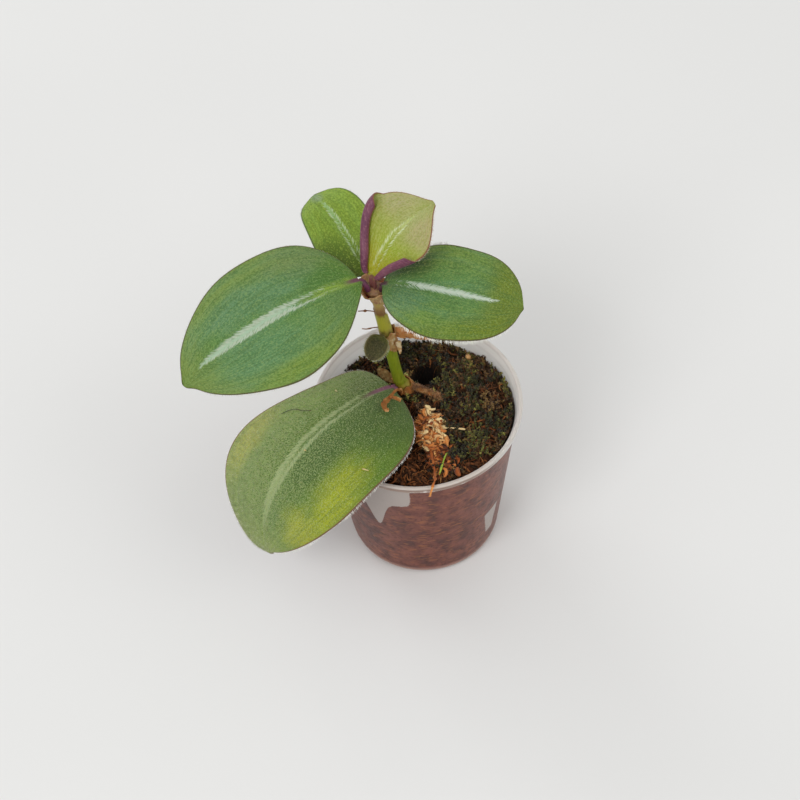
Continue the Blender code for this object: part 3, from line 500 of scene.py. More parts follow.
def leaf(name, node, finish, base, length, pitch, heading, seat, left, right, fold, curl,
         seat_direction=(0.0, 0.0, 1.0), droop=0.0, late_droop=0.0, sweep=0.0, lean=0.0, twist=0.0, wave=0.0,
         rolls=(None, None), stalk=0.65, nib=0.0, stripe=((0.0, 0.0, 0.0, -9.0), (1.0, 0.0, 0.0, -9.0)),
         rows=112, columns=30, ribs=7):
    """A blade with stalk and keel, whose cross-sections are carried along the midrib.

    left and right are half widths at a tenth, three, five, seven and nine tenths of the length. stripe
    rows are (share of the length, how far left of the part's line the midrib lies, the silver lines'
    distance from it, their half width). nib is how far the tip is drawn out to a corner, in mm. Makes
    the piece and returns what its hairs are set on."""
    t = 0.5 * (1 - np.cos(np.linspace(0, math.pi, rows)))
    line, along, level = blade_line(t, base, length, pitch, heading, droop, late_droop, sweep)
    line = np.vstack([stalk_line(seat, seat_direction, base, along[0]), line])
    along = unit(np.gradient(line, axis=0))
    turned_by = np.radians(lean + twist * t)[:, None]
    across = level * np.cos(turned_by) + np.cross(along[STALK_ROWS:], level) * np.sin(turned_by)
    across = np.vstack([np.repeat(across[:1], STALK_ROWS, axis=0), across])
    across = unit(across - along * (across * along).sum(axis=1, keepdims=True))
    outward = np.cross(along, across)

    whole = np.concatenate([np.linspace(-1, 0, STALK_ROWS + 1)[:-1], t])
    blade = np.clip(whole, 0, None)
    stub = stalk * (1 + 0.35 * np.clip(1 + whole, 0, 1)) * (1 - blade) ** 4 + TIP_HALF_WIDTH * blade
    channel = np.clip(-whole, 0, 1) * CHANNEL
    keel = np.where(whole < 0, KEEL, KEEL * (1 - blade) + 0.1)
    on_blade = np.where(whole < 0, 0.0, 1.0)[:, None]
    shares = np.sin(np.linspace(0, math.pi / 2, columns + 1)) * 0.35 + np.linspace(0, 1, columns + 1) * 0.65
    stripe = np.array(stripe)
    centre, distance, half_line = (np.interp(whole, stripe[:, 0], stripe[:, k])[:, None] for k in (1, 2, 3))
    grown = np.clip(blade / 0.25, 0, 1)

    grids = []
    for side, widths, roll, index in ((1, left, rolls[0], 0), (-1, right, rolls[1], 1)):
        width = np.hypot(half_widths(blade, widths), stub)
        sideways, up, angle, place = half_section(
            width, np.radians(fold[index] + channel), np.radians(curl[index]) * on_blade[:, 0], shares,
            None if roll is None else np.radians(roll(blade)), grown)
        reach = np.minimum(place / width[:, None], 1.0)
        ripple = wave * np.sin(2 * math.pi * 2.5 * whole + 1.7 * side)[:, None] * on_blade
        up = up + ripple * reach ** 3
        ridge = 0.05 * np.sin(2 * math.pi * ribs * reach) * 4 * reach * (1 - reach) * on_blade
        from_rib = side * place - centre
        off_rib = np.abs(from_rib)
        groove = -0.2 * np.exp(-(off_rib / 0.6) ** 2) * (1 - blade[:, None]) * on_blade
        drawn = nib * np.exp(-(place / 2.4) ** 2) * np.clip((whole[:, None] - 0.9) / 0.1, 0, 1) ** 2
        beside, above, ahead = side * across[:, None], outward[:, None], along[:, None]
        surface = line[:, None] + beside * sideways[..., None] + above * up[..., None]
        surface = surface + ahead * drawn[..., None]
        normal = above * np.cos(angle)[..., None] - beside * np.sin(angle)[..., None]
        rough = 0.035 * layered_noise(surface, 2.2, 11 + index) * on_blade
        top = surface + normal * (ridge + groove + rough)[..., None]
        skin = EDGE_THICKNESS + (BLADE_THICKNESS - EDGE_THICKNESS) * np.clip(1 - reach ** 4, 0, 1)
        skin[:, columns + 1:] = 0.42
        flat_part = place <= width[:, None] + 1e-6
        thick = skin + keel[:, None] * np.exp(-(sideways / RIB_HALF_WIDTH) ** 2) * flat_part
        under = surface - normal * thick[..., None]
        margin = side * across * np.cos(angle[:, -1:]) + outward * np.sin(angle[:, -1:])
        rim = (top[:, -1] + under[:, -1]) / 2 + 0.14 * margin
        grids.append({
            "top": top, "under": under, "rim": rim, "across": from_rib, "share": side * reach,
            "edge": place[:, -1:] - place, "silver": half_line - np.abs(off_rib - distance),
            "margin": margin, "normal": normal})

    def ringed(values_top, values_under, values_rim):
        """The four runs of every ring: upper side from left to right, right rim, lower side, left rim."""
        return np.concatenate([
            values_top[0][:, ::-1], values_top[1][:, 1:], values_rim[1][:, None],
            values_under[1][:, ::-1], values_under[0][:, 1:], values_rim[0][:, None]], axis=1)

    ring = ringed(*([grid[part] for grid in grids] for part in ("top", "under", "rim")))
    total = ring.shape[1]
    marks = {}
    for mark in ("across", "share", "edge", "silver"):
        values = [grid[mark] for grid in grids]
        marks[mark] = ringed(values, values, [v[:, -1] for v in values]).ravel()
    flat = [np.zeros_like(grid["share"]) for grid in grids]
    marks["under"] = ringed(flat, [f + 1 for f in flat], [f[:, -1] + 0.25 for f in flat]).ravel()
    marks["silver"] = np.where(marks["under"] > 0.2, -9.0, marks["silver"])
    all_whole = np.repeat(whole, total)
    mm_along = np.repeat(np.concatenate([whole[:STALK_ROWS] * 4.0, t * length]), total)
    piece(name, ring.reshape(-1, 3), shell_faces(len(line), total), finish, node, {
        "blade": np.stack([marks["across"], mm_along, marks["edge"]], axis=-1),
        "marks": np.stack([marks["silver"], all_whole, marks["share"]], axis=-1),
        "under": marks["under"]})
    return {"grids": grids, "along": along, "whole": whole, "outward": outward, "across": across}


def blade_sites(shape, count, draw, least=0.02, most=0.97, spread=0.97):
    """Random places on the upper side, even by area: points, normals, directions along and outwards, and
    the shares of the length and of the half width."""
    rows = np.flatnonzero((shape["whole"] >= least) & (shape["whole"] <= most))
    sites = []
    for grid in shape["grids"]:
        inner = np.flatnonzero(np.abs(grid["share"][rows[0]]) <= spread)[-1]
        sheet = grid["top"][rows][:, :inner + 1]
        corner = sheet[:-1, :-1]
        spans = np.linalg.norm(np.cross(sheet[1:, :-1] - corner, sheet[:-1, 1:] - corner), axis=-1)
        sites.append((grid, sheet, spans))
    areas = np.concatenate([s[2].ravel() for s in sites])
    chosen = draw.choice(len(areas), count, p=areas / areas.sum())
    points, normals, ways, outs, places = [], [], [], [], []
    start = 0
    for grid, sheet, spans in sites:
        mine = chosen[(chosen >= start) & (chosen < start + spans.size)] - start
        start += spans.size
        i, j = np.divmod(mine, spans.shape[1])
        u, v = draw.random((2, len(mine), 1))
        corner = sheet[i, j]
        points.append(corner + u * (sheet[i + 1, j] - corner) + v * (sheet[i, j + 1] - corner))
        normals.append(grid["normal"][rows][i, j])
        ways.append(shape["along"][rows][i])
        signed = grid["share"][rows][i, j + 1]
        outs.append(np.sign(signed)[:, None] * shape["across"][rows][i])
        places.append(np.stack([shape["whole"][rows][i], signed], axis=-1))
    return [np.concatenate(parts) for parts in (points, normals, ways, outs, places)]


def down(shape, count, length, radius, seed, lean=0.8, outward=0.0, chance=None):
    """Short hairs over the upper side that lean towards the tip and outwards.

    chance gives the share of the hairs that stand, from the shares of the length and of the half width."""
    draw = np.random.default_rng(seed)
    points, normals, ways, outs, places = blade_sites(shape, count, draw)
    if chance is not None:
        kept = draw.random(len(points)) < chance(*places.T)
        points, normals, ways, outs = (part[kept] for part in (points, normals, ways, outs))
    aim = normals + ways * lean + outs * outward + draw.normal(0, 0.35, points.shape)
    lengths = length * draw.uniform(0.55, 1.2, len(points))
    return spikes(points - 0.04 * normals, aim, lengths, radius)


def fringe(shape, side, count, length, radius, seed, least=0.02, most=0.98, forward=0.5, rise=0.0):
    """Curved hairs along one margin: they leave it outwards and bend towards the tip."""
    draw = np.random.default_rng(seed)
    grid = shape["grids"][side]
    rows = np.flatnonzero((shape["whole"] >= least) & (shape["whole"] <= most))
    edge = grid["rim"][rows]
    run = np.concatenate([[0], np.cumsum(np.linalg.norm(np.diff(edge, axis=0), axis=1))])
    place = draw.uniform(0, run[-1], count)
    at, out, way, up = (
        np.stack([np.interp(place, run, values[:, k]) for k in range(3)], axis=-1)
        for values in (edge, grid["margin"][rows], shape["along"][rows], shape["outward"][rows]))
    aim = unit(out + forward * 0.5 * way + rise * up + draw.normal(0, 0.22, at.shape))
    lengths = (length * draw.uniform(0.5, 1.15, count))[:, None]
    far = at + aim * lengths + way * forward * 0.5 * lengths + draw.normal(0, 0.08, at.shape)
    lines = np.stack([at - 0.15 * out, at + aim * lengths * 0.5, far], axis=1)
    return rods(lines, radius * np.array([1.0, 0.75, 0.25]))


def crown_seat(heading, away=CROWN_SEAT_RING):
    """A place on the crown's top for a stalk whose upper side lies that far from its middle."""
    turn = math.radians(heading)
    return (CROWN[0] + away * math.cos(turn), CROWN[1] + away * math.sin(turn), CROWN[2] + SEAT_RISE)


def crown_side(heading, below):
    """A place beside the crown, that far below its top."""
    turn = math.radians(heading)
    away = CROWN_RADIUS + 0.3
    return (CROWN[0] + away * math.cos(turn), CROWN[1] + away * math.sin(turn), CROWN[2] - below)


UNDERSIDE = {"under": "#6a4152", "under_vein": "#4f2c3e", "under_light": "#84586a"}


def left_leaf():
    """The largest crown leaf: velvety mid green with bluish bands and a broad silver stripe."""
    # The two bluish ovals in the middle of the blade, one each side of the midrib, are painted sheen of the
    # velvet.
    finish = leaf_finish("velvet_green_leaf_skin", {
        "inner": "#577d38", "outer": "#72893c", "cool": "#557f54", "blotch": "#698a50", "base": "#4f7420",
        "tip": "#728434", "vein": "#3c6122", "light": "#7f9a56", "stripe": "#b1bea9", "core": "#98b597",
        "margin": "#45421a", "dust": "#9db08a", "stalk": "#6a3352", **UNDERSIDE},
        spots=((10.0, 38.0, 9.0, 24.0, "#54825a", 0.7), (-8.0, 34.0, 8.0, 24.0, "#5c8462", 0.65),
               (-15.0, 14.0, 9.0, 13.0, "#66794e", 0.6), (-4.5, 11.0, 4.0, 9.0, "#3f6a18", 0.7),
               (8.0, 9.0, 8.0, 9.0, "#5c7c46", 0.6), (0.0, 9.0, 2.2, 13.0, "#86a034", 0.85),
               (21.0, 34.0, 5.0, 30.0, "#70892c", 0.7)), purple_rib=0.1)
    return leaf(
        "left_leaf", "leaf_left", finish,
        base=(-14.5, 13.0, 104.6), length=62.0, pitch=18.7, heading=203.2, seat=crown_seat(196),
        left=(10.2, 21.3, 25.2, 22.8, 13.6), right=(14.1, 20.0, 19.9, 16.5, 9.2),
        fold=(6.8, 9.7), curl=(-14.2, -10.2), droop=41.9, sweep=16.2, lean=-0.8, wave=0.35, stalk=0.85,
        nib=1.5,
        stripe=(
            (0.0, -0.8, 0.9, -0.9), (0.1, -0.2, 1.0, -0.3), (0.18, 0.1, 1.0, 0.0), (0.22, 0.6, 1.15, 0.2),
            (0.26, 0.9, 1.25, 0.35), (0.34, 1.2, 1.25, 0.6), (0.42, 1.2, 1.0, 1.05), (0.5, 1.15, 0.8, 1.3),
            (0.58, 1.2, 0.6, 1.45), (0.66, 1.0, 0.5, 1.5), (0.74, 0.6, 0.4, 1.25), (0.8, 0.3, 0.25, 1.1),
            (0.86, -0.2, 0.0, 0.85), (0.9, -0.3, 0.0, 0.35), (0.94, -0.2, 0.0, -0.7), (1.0, 0.0, 0.0, -2.0)),
        rows=130, columns=34)


def right_leaf():
    """The second crown leaf: deep green, with a silver stripe and white hairs along its margins."""
    # The near-black oval 9 mm left of the midrib by the blade's foot is a painted shadow of the young leaf
    # that leans over it.
    finish = leaf_finish("deep_green_leaf_skin", {
        "inner": "#5a8446", "outer": "#6a8630", "cool": "#56825a", "blotch": "#66894c", "base": "#55783c",
        "tip": "#5f6a00", "vein": "#3c6026", "light": "#839a50", "stripe": "#b6c6b4", "core": "#c4d0c0",
        "margin": "#48421a", "dust": "#9db08a", "stalk": "#4d2638", **UNDERSIDE},
        spots=((-14.0, 34.0, 10.0, 12.0, "#6a7a0c", 0.9), (-16.5, 20.0, 5.0, 14.0, "#657a1e", 0.85),
               (9.0, 5.5, 8.0, 8.5, "#1c2c06", 0.9), (-6.0, 8.0, 6.0, 8.0, "#5e8464", 0.6),
               (4.0, 38.0, 12.0, 6.0, "#6c7c18", 0.7)), purple_rib=0.05, tip_reach=(0.62, 0.9))
    return leaf(
        "right_leaf", "leaf_right", finish,
        base=(-7.8, 13.0, 102.3), length=42.9, pitch=17.3, heading=-20.1, seat=crown_seat(-28),
        left=(11.2, 15.0, 15.6, 14.5, 10.0), right=(9.4, 15.7, 17.6, 16.2, 10.9),
        droop=34.6, sweep=8.4, lean=5.1, twist=0.3, fold=(8.3, 7.4), curl=(-13.3, -15.3), wave=0.25, nib=0.9,
        stripe=(
            (0.0, 0.6, 0.9, -0.8), (0.1, 0.75, 0.75, -0.1), (0.14, 0.6, 0.85, 0.1),
            (0.22, 0.35, 0.65, 0.4), (0.26, 0.3, 0.5, 0.6), (0.3, 0.0, 0.25, 0.95),
            (0.38, -0.15, 0.2, 1.05), (0.46, -0.6, 0.2, 1.1), (0.54, -0.7, 0.2, 1.15),
            (0.62, -1.0, 0.2, 1.05), (0.7, -1.05, 0.1, 0.95), (0.78, -1.05, 0.0, 0.75),
            (0.82, -0.85, 0.0, 0.4), (0.86, -0.8, 0.0, -0.4), (1.0, 0.0, 0.0, -2.0)))


def low_leaf():
    """The oldest leaf: dull green under dense pale down, with a yellowing patch near its right margin."""
    # The pale specks thicken towards the tip and onto the blade's right half: real down, and on that half
    # also painted light where the blade faces the lamp.
    finish = leaf_finish("dusty_green_leaf_skin", {
        "inner": "#4b6a1c", "outer": "#5c7a1e", "cool": "#476c30", "blotch": "#587820", "base": "#42581f",
        "tip": "#8c9c26", "vein": "#3a581a", "light": "#6d8642", "stripe": "#9dab7c", "core": "#84955e",
        "margin": "#6a4538", "dust": "#aab87c", "stalk": "#84506a", **UNDERSIDE},
        roughness=0.6, sheen=0.08, dust=0.45, dust_and_light_lean=(0.0, 0.15, -0.12), vein=0.35, purple_rib=0.16,
        tip_reach=(0.7, 0.93),
        spots=((21.0, 44.0, 10.0, 20.0, "#9ca40c", 0.95), (14.0, 60.0, 9.0, 11.0, "#a2a418", 0.85),
               (-17.0, 44.0, 5.0, 15.0, "#a8a234", 0.95), (11.0, 13.0, 13.0, 16.0, "#3d5620", 0.8),
               (7.0, 36.0, 8.0, 20.0, "#365418", 0.9), (-12.0, 22.0, 8.0, 17.0, "#7a9a48", 0.75),
               (-4.0, 8.0, 4.0, 8.0, "#4b5a30", 0.6)))
    return leaf(
        "low_leaf", "leaf_low", finish,
        base=(-7.5, 5.6, 61.0), length=85.5, pitch=21.6, heading=207.9, seat=(-6.3, 7.2, 59.5),
        left=(23.6, 30.4, 28.5, 19.4, 5.0), right=(12.3, 14.9, 20.2, 16.9, 7.2), nib=1.0,
        seat_direction=(-0.7, -0.4, 0.6), droop=77.4, late_droop=62.0, sweep=31.1, lean=4.9, twist=-3.1,
        fold=(8.8, 7.4), curl=(-14.1, -16.9), wave=0.3, stalk=0.8,
        stripe=(
            (0.0, -0.8, 0.6, -0.6), (0.08, -0.3, 0.9, 0.1), (0.14, 0.3, 1.2, 0.45), (0.2, 0.9, 1.3, 0.65),
            (0.3, 1.1, 1.25, 0.8), (0.42, 0.9, 1.25, 0.8), (0.5, 0.8, 1.1, 0.9), (0.58, 0.5, 0.8, 1.0),
            (0.64, 0.3, 0.4, 1.15), (0.7, 0.2, 0.0, 1.2), (0.74, 0.3, 0.0, 0.7), (0.8, 0.4, 0.0, 0.1),
            (0.88, 0.2, 0.0, -1.0), (1.0, 0.0, 0.0, -2.0)),
        rows=140, columns=36)


def back_leaf():
    """The leaf behind the crown: bright green with a pair of silver lines."""
    finish = leaf_finish("bright_green_leaf_skin", {
        "inner": "#728d20", "outer": "#7a9528", "cool": "#76983a", "blotch": "#7f9a2e", "base": "#405402",
        "tip": "#849e44", "vein": "#526e0c", "light": "#93ac42", "stripe": "#b2c49c", "core": "#6c9c50",
        "margin": "#4a6024", "dust": "#a8ba80", "stalk": "#5a3a34", **UNDERSIDE}, roughness=0.48,
        spots=((8.0, 9.0, 8.0, 11.0, "#455e04", 0.85), (0.0, 4.0, 8.0, 6.0, "#3c5002", 0.6),
               (0.0, 33.0, 2.5, 2.5, "#8a9a90", 0.6)), purple_rib=0.03, base_reach=(0.45, 0.05))
    return leaf(
        "back_leaf", "leaf_back", finish,
        base=(-12.5, 18.4, 100.9), length=34.1, pitch=14.9, heading=108.8, seat=crown_side(112, 1.2),
        left=(7.9, 10.6, 10.2, 9.1, 6.9), right=(6.3, 9.1, 10.0, 10.3, 8.4),
        seat_direction=(-0.3, 0.8, 0.4), droop=20.8, sweep=14.1, lean=-2.9,
        fold=(7.5, 9.5), curl=(-11.4, -11.5), wave=0.2, nib=0.5,
        stripe=(
            (0.0, -0.6, 0.5, -0.4), (0.12, -0.6, 0.6, 0.0), (0.2, -0.2, 0.75, 0.15),
            (0.42, -0.25, 0.75, 0.25), (0.52, -0.3, 0.65, 0.35), (0.6, -0.45, 0.5, 0.4),
            (0.7, -0.55, 0.4, 0.5), (0.8, -0.6, 0.3, 0.45), (0.88, -0.5, 0.1, 0.2),
            (0.93, -0.3, 0.0, -0.4), (1.0, 0.0, 0.0, -2.0)),
        rows=90, columns=24)


def young_leaf():
    """The standing young leaf: pale yellow-green, its purple margins still rolled inwards."""
    # Degrees that each margin has rolled in, from the foot to where the roll runs out
    def left_roll(t):
        return 285 * np.clip(t / 0.03, 0, 1) * np.clip((0.71 - t) / 0.14, 0, 1)

    def right_roll(t):
        return 245 * np.clip(t / 0.03, 0, 1) * np.clip((0.48 - t) / 0.06, 0, 1)

    finish = leaf_finish("pale_young_leaf_skin", {
        "inner": "#8fa01c", "outer": "#96a02a", "cool": "#93a634", "blotch": "#9aa650", "base": "#a8a000",
        "tip": "#9c9c68", "vein": "#7c8a20", "light": "#a9ae66", "stripe": "#ccd6ac", "core": "#96a41c",
        "margin": "#7c4a36", "dust": "#b8b48c", "stalk": "#6f403c",
        "under": "#643049", "under_vein": "#432038", "under_light": "#93606f"},
        roughness=0.45, vein=0.35, purple_rib=0.03,
        base_reach=(0.42, 0.1), tip_reach=(0.36, 0.74),
        spots=((-8.0, 23.0, 7.0, 8.0, "#a4966e", 0.8), (8.0, 24.0, 7.0, 7.0, "#a39a74", 0.7)))
    return leaf(
        "young_leaf", "leaf_young", finish,
        base=(-10.6, 14.3, 104.6), length=29.2, pitch=59.9, heading=46.6, seat=crown_seat(46, -0.6),
        left=(3.7, 7.0, 11.3, 11.8, 5.2), right=(3.2, 7.4, 11.6, 11.5, 5.2),
        droop=47.0, sweep=-24.6, lean=1.4, twist=-2.3, fold=(12.0, 11.7), curl=(-12.0, -12.4),
        rolls=(left_roll, right_roll), nib=0.7,
        stripe=(
            (0.0, 0.3, 0.7, -0.6), (0.12, 0.4, 0.8, 0.0), (0.2, 0.4, 0.95, 0.25), (0.5, 0.4, 0.95, 0.35),
            (0.56, 0.2, 0.8, 0.4), (0.62, -0.1, 0.4, 0.5), (0.7, 0.0, 0.1, 0.5), (0.78, 0.0, 0.0, 0.15),
            (0.86, 0.0, 0.0, -0.5), (1.0, 0.0, 0.0, -2.0)),
        rows=100, columns=24)


def small_leaf():
    """The little hanging leaf at the middle node: dark olive with a pale downy margin."""
    finish = leaf_finish("olive_leaf_skin", {
        "inner": "#45441f", "outer": "#545222", "cool": "#454a24", "blotch": "#504e20", "base": "#5f6a1c",
        "tip": "#4a3f22", "vein": "#33331a", "light": "#67633a", "stripe": "#6a7046", "core": "#5c6a34",
        "margin": "#8f8a5c", "dust": "#8c8a60", "stalk": "#5f5a28", **UNDERSIDE}, roughness=0.58, sheen=0.1,
        dust=0.25)
    return leaf(
        "small_leaf", "leaf_small", finish,
        base=(-9.4, 8.6, 83.6), length=8.2, pitch=-22.0, heading=236.0, seat=(-9.14, 8.96, 83.77),
        left=(2.6, 3.5, 3.6, 3.2, 2.0), right=(2.6, 3.5, 3.6, 3.2, 2.0),
        seat_direction=(-0.52, -0.77, -0.37), droop=16.0, lean=-8.0, fold=(6.0, 6.0), curl=(-20.0, -20.0),
        stalk=0.55, rows=50, columns=14, ribs=4)


def margin_hairs(name, shape, finish, node, rows):
    """The hairs along both margins as one piece. Each row is a fringe's values, from its side on."""
    piece(name, *joined(*(fringe(shape, *row) for row in rows)), finish, node)


def leaves():
    """All six leaves with their down and margin hairs."""
    white = hair_finish("clear_white_leaf_hair", "#f2f2e8", "#fdfcf8", 0.0)
    dusty = hair_finish("short_pale_down", "#a9b294", "#dcdfc8")
    fine = hair_finish("fine_velvet_down", "#6f8a54", "#9db284", 0.2)

    left = left_leaf()
    margin_hairs("left_leaf_margin_hairs", left, dusty, "leaf_left",
                 ((0, 260, 0.55, 0.035, 1), (1, 260, 0.5, 0.035, 2)))
    piece("left_leaf_down", *down(left, 9000, 0.3, 0.02, 3), fine, "leaf_left")

    right = right_leaf()
    margin_hairs("right_leaf_margin_hairs", right, white, "leaf_right", (
        (1, 190, 1.35, 0.07, 4, 0.05, 0.74, 0.3, 0.25), (1, 70, 0.8, 0.05, 5, 0.7, 0.95),
        (0, 150, 1.2, 0.045, 6, 0.02, 0.4, 0.5, 0.4), (0, 60, 0.7, 0.04, 7, 0.4, 0.95)))
    piece("right_leaf_down", *down(right, 6000, 0.3, 0.02, 8), fine, "leaf_right")

    low = low_leaf()
    margin_hairs("low_leaf_margin_hairs", low, white, "leaf_low",
                 ((0, 520, 0.9, 0.045, 9, 0.02, 0.97), (1, 420, 0.75, 0.045, 10, 0.02, 0.97)))

    # The down thins out on the leaf's left half and towards the stem
    def standing(whole, share):
        return np.clip(0.25 + 0.8 * (whole - 0.5) - 0.6 * share, 0.03, 1)

    downy = hair_finish("long_pale_down", "#86985a", "#d4daac")
    piece("low_leaf_down", *down(low, 44000, 0.85, 0.027, 11, 0.5, 0.8, standing), downy, "leaf_low")
    flecks = np.array([
        ((-17.8, -28.6, 67.35), (-16.0, -29.4, 67.3)), ((-25.0, 3.2, 65.0), (-24.4, 2.7, 65.0)),
        ((-35.3, -16.8, 62.7), (-34.7, -17.2, 62.8))])
    straw = dry_finish("cream_straw_fleck", "#ded3a0", "#c9b87c", "#a8925a", "#b09a60", 0.7)
    piece("low_leaf_flecks", *rods(flecks, [0.3, 0.22], 6, 0.6), straw, "leaf_low")
    lint = curve_through(
        [(-41.9, -2.6, 62.75), (-38.0, -2.2, 64.0), (-35.2, -3.5, 64.6), (-32.7, -3.7, 64.8)], 20)
    dark = dry_finish("dark_lint", "#56604a", "#3a4234", "#262c22", "#454c3c", 0.8)
    piece("low_leaf_lint", *rods(lint[None], 0.11, 5), dark, "leaf_low")

    margin_hairs("back_leaf_margin_hairs", back_leaf(), dusty, "leaf_back",
                 ((0, 120, 0.45, 0.03, 12), (1, 120, 0.45, 0.03, 13)))
    young = young_leaf()
    rosy = hair_finish("rosy_young_leaf_hair", "#b59a80", "#e6d8c0")
    margin_hairs("young_leaf_margin_hairs", young, rosy, "leaf_young",
                 ((1, 200, 0.6, 0.028, 14, 0.44, 0.98), (0, 60, 0.4, 0.025, 15, 0.72, 0.98)))
    margin_hairs("small_leaf_margin_hairs", small_leaf(), dusty, "leaf_small",
                 ((0, 130, 0.6, 0.035, 16, 0.0, 1.0), (1, 130, 0.6, 0.035, 17, 0.0, 1.0)))


# Stem

def stem_finish():
    """Living stem and old nodes: waxy green internodes, brown corky nodes and a purple-streaked crown."""
    made, tree, shader = new_finish("green_stem_skin", {
        "IOR": 1.45, "Roughness": 0.5, "Subsurface Weight": 0.08, "Subsurface Scale": 0.002})
    where = add(tree, "TexCoord").outputs["Object"]
    height = add(tree, "SeparateXYZ", {0: where}).outputs["Z"]
    # Streaks 0.5 mm wide and 6 mm long, blotches 2 mm wide
    drawn = add(tree, "VectorMath", {0: where, 1: (1900.0, 1900.0, 150.0)}, operation="MULTIPLY")
    streaks = add(tree, "TexNoise", {"Vector": drawn, "Scale": 1.0, "Detail": 3.0})
    blotches = add(tree, "TexNoise", {"Vector": where, "Scale": 480.0, "Detail": 3.0})
    shifted = add(tree, "Math", {0: blotches, 1: 0.0022, 2: height}, operation="MULTIPLY_ADD")
    share = add(tree, "MapRange", {"Value": shifted, "From Min": 0.0541, "From Max": 0.1021})
    ground = add(tree, "ValToRGB", {0: share}, stops=(
        (0.0, "#4a2f14"), (1.0, "#8a6548"), (0.06, "#84561e"), (0.1, "#98702a"), (0.14, "#7c8516"),
        (0.3, "#7c8d18"), (0.5, "#8a991c"), (0.56, "#9a8a3c"), (0.63, "#9a8a3c"), (0.66, "#a8a62c"),
        (0.76, "#aaa82a"), (0.785, "#7c5628"), (0.815, "#8f6c3a"), (0.86, "#b59a58"), (0.93, "#a07a48")))
    mask = soft_masks(tree, (
        ("dark", streaks, 0.52, 0.7, 0.45), ("light", streaks, 0.46, 0.3, 0.3),
        ("crown", height, 0.0915, 0.0985, 1.0), ("blotch", blotches, 0.52, 0.66, 0.5),
        ("foot", height, 0.0605, 0.058, 1.0)))
    both_masks(tree, mask, (("purple", "crown", "blotch"), ("corky", "foot", "blotch")))
    wire(tree, shader, {
        "Base Color": painted(tree, ground.outputs[0], [
            (mask["dark"], "#4c4410"), (mask["light"], "#9aa03c"), (mask["purple"], "#5e2f38"),
            (mask["corky"], "#4a2a12")]),
        "Normal": add(tree, "Bump", {"Strength": 0.5, "Distance": 0.00015, "Height": streaks})})
    return made


def root_lines():
    """Root centre lines: they leave the buried stock, spread and turn down."""
    stock = np.array(STEM_POINTS[0])
    lines = []
    for i in range(ROOT_COUNT):
        turn = 0.5 + i * 2 * math.pi / ROOT_COUNT
        out = np.array([math.cos(turn), math.sin(turn), 0.0])
        side = np.array([-out[1], out[0], 0.0])
        along = np.linspace(0, 1, 25)[:, None]
        spread = (2.0 + 1.6 * (i % 3)) * np.sqrt(along) + 4.5 * along
        sway = 1.2 * np.sin(2 * math.pi * along + i)
        drop = -ROOT_LENGTH * (0.72 + 0.07 * (i % 4)) * along
        start = stock + np.array([0, 0, 4.0])
        lines.append(start + out * spread + side * sway * along + np.array([0, 0, 1.0]) * drop)
    return np.array(lines)


def stem():
    """The stem with its roots: rings along its line, swollen at the nodes, with a domed crown.

    Each ring's radius is the part's radius there plus noise, a rough scar ring above the upper
    internode, and lengthwise ridges that deepen towards the crown."""
    steps, sides = 260, 48
    line = curve_through(STEM_POINTS, steps)
    radii = curve_through(np.array(STEM_RADII)[:, None], steps)[:, 0]
    dome = np.linspace(0, math.pi / 2, 9)[1:-1]
    line = np.vstack([line, line[-1] + np.outer(np.sin(dome), (0.0, 0.0, 1.3))])
    radii = np.concatenate([radii, radii[-1] * np.cos(dome)])
    along = unit(np.gradient(line, axis=0))
    across = unit(np.cross(along, [0.31, -0.95, 0.07]))
    ring = around(across, np.cross(along, across), sides)
    height = line[:, 2:]
    scar = 0.16 * np.exp(-((height - CROWN_SCAR) / 0.7) ** 2)
    scar = scar + 0.1 * np.exp(-((height - FOOT_SCAR) / 0.5) ** 2)
    crownward = np.clip((height - 92) / 7, 0, 1)
    ridges = (0.02 + 0.1 * crownward) * np.sin(7 * turns(sides) + 0.4 * np.sin(height / 2.1))
    corky = 0.16 * np.exp(-((height - CROWN_SCAR) / 0.9) ** 2) + 0.12 * np.clip((59.5 - height) / 1.5, 0, 1)
    surface = line[:, None] + radii[:, None, None] * ring
    lift = scar + ridges + (0.05 + corky) * layered_noise(surface, 1.1, 5)
    surface = surface + ring * np.minimum(lift, 0.24)[..., None]
    roots = rods(root_lines(), ROOT_RADIUS * np.linspace(1.15, 0.5, 25), sides=8)
    points, faces = joined((surface.reshape(-1, 3), shell_faces(len(line), sides)), roots)
    piece("stem_and_roots", points, faces, stem_finish(), "stem")


# Dry pieces

def dry_finish(name, pale, middle, dark, streak, roughness=0.75, see_through=0.0,
               lengthwise=(420.0, 420.0, 90.0)):
    """Dead leaf skin: papery and dull, with darker lengthwise streaks and a brittle, wrinkled surface."""
    made, tree, shader = new_finish(name, {
        "Roughness": roughness, "IOR": 1.45, "Transmission Weight": see_through, "Subsurface Weight": 0.1,
        "Subsurface Scale": 0.002})
    where = add(tree, "TexCoord").outputs["Object"]
    drawn = add(tree, "VectorMath", {0: where, 1: lengthwise}, operation="MULTIPLY")
    streaks = add(tree, "TexNoise", {"Vector": drawn, "Scale": 1.6, "Detail": 3.0, "Distortion": 0.6})
    blotches = add(tree, "TexNoise", {"Vector": where, "Scale": 520.0, "Detail": 4.0})
    mask = soft_masks(tree, (
        ("pale", blotches, 0.5, 0.68, 0.9), ("dark", blotches, 0.45, 0.3, 0.8),
        ("streak", streaks, 0.54, 0.68, 0.85)))
    wire(tree, shader, {
        "Base Color": painted(tree, middle, [
            (mask["pale"], pale), (mask["dark"], dark), (mask["streak"], streak)]),
        "Normal": add(tree, "Bump", {"Strength": 0.6, "Distance": 0.0002, "Height": streaks})})
    return made


def stem_at(height):
    """The stem's centre and radius at heights in millimetres."""
    line = np.array(STEM_POINTS)
    x, y = (np.interp(height, line[:, 2], line[:, i]) for i in (0, 1))
    return x, y, np.interp(height, line[:, 2], STEM_RADII)


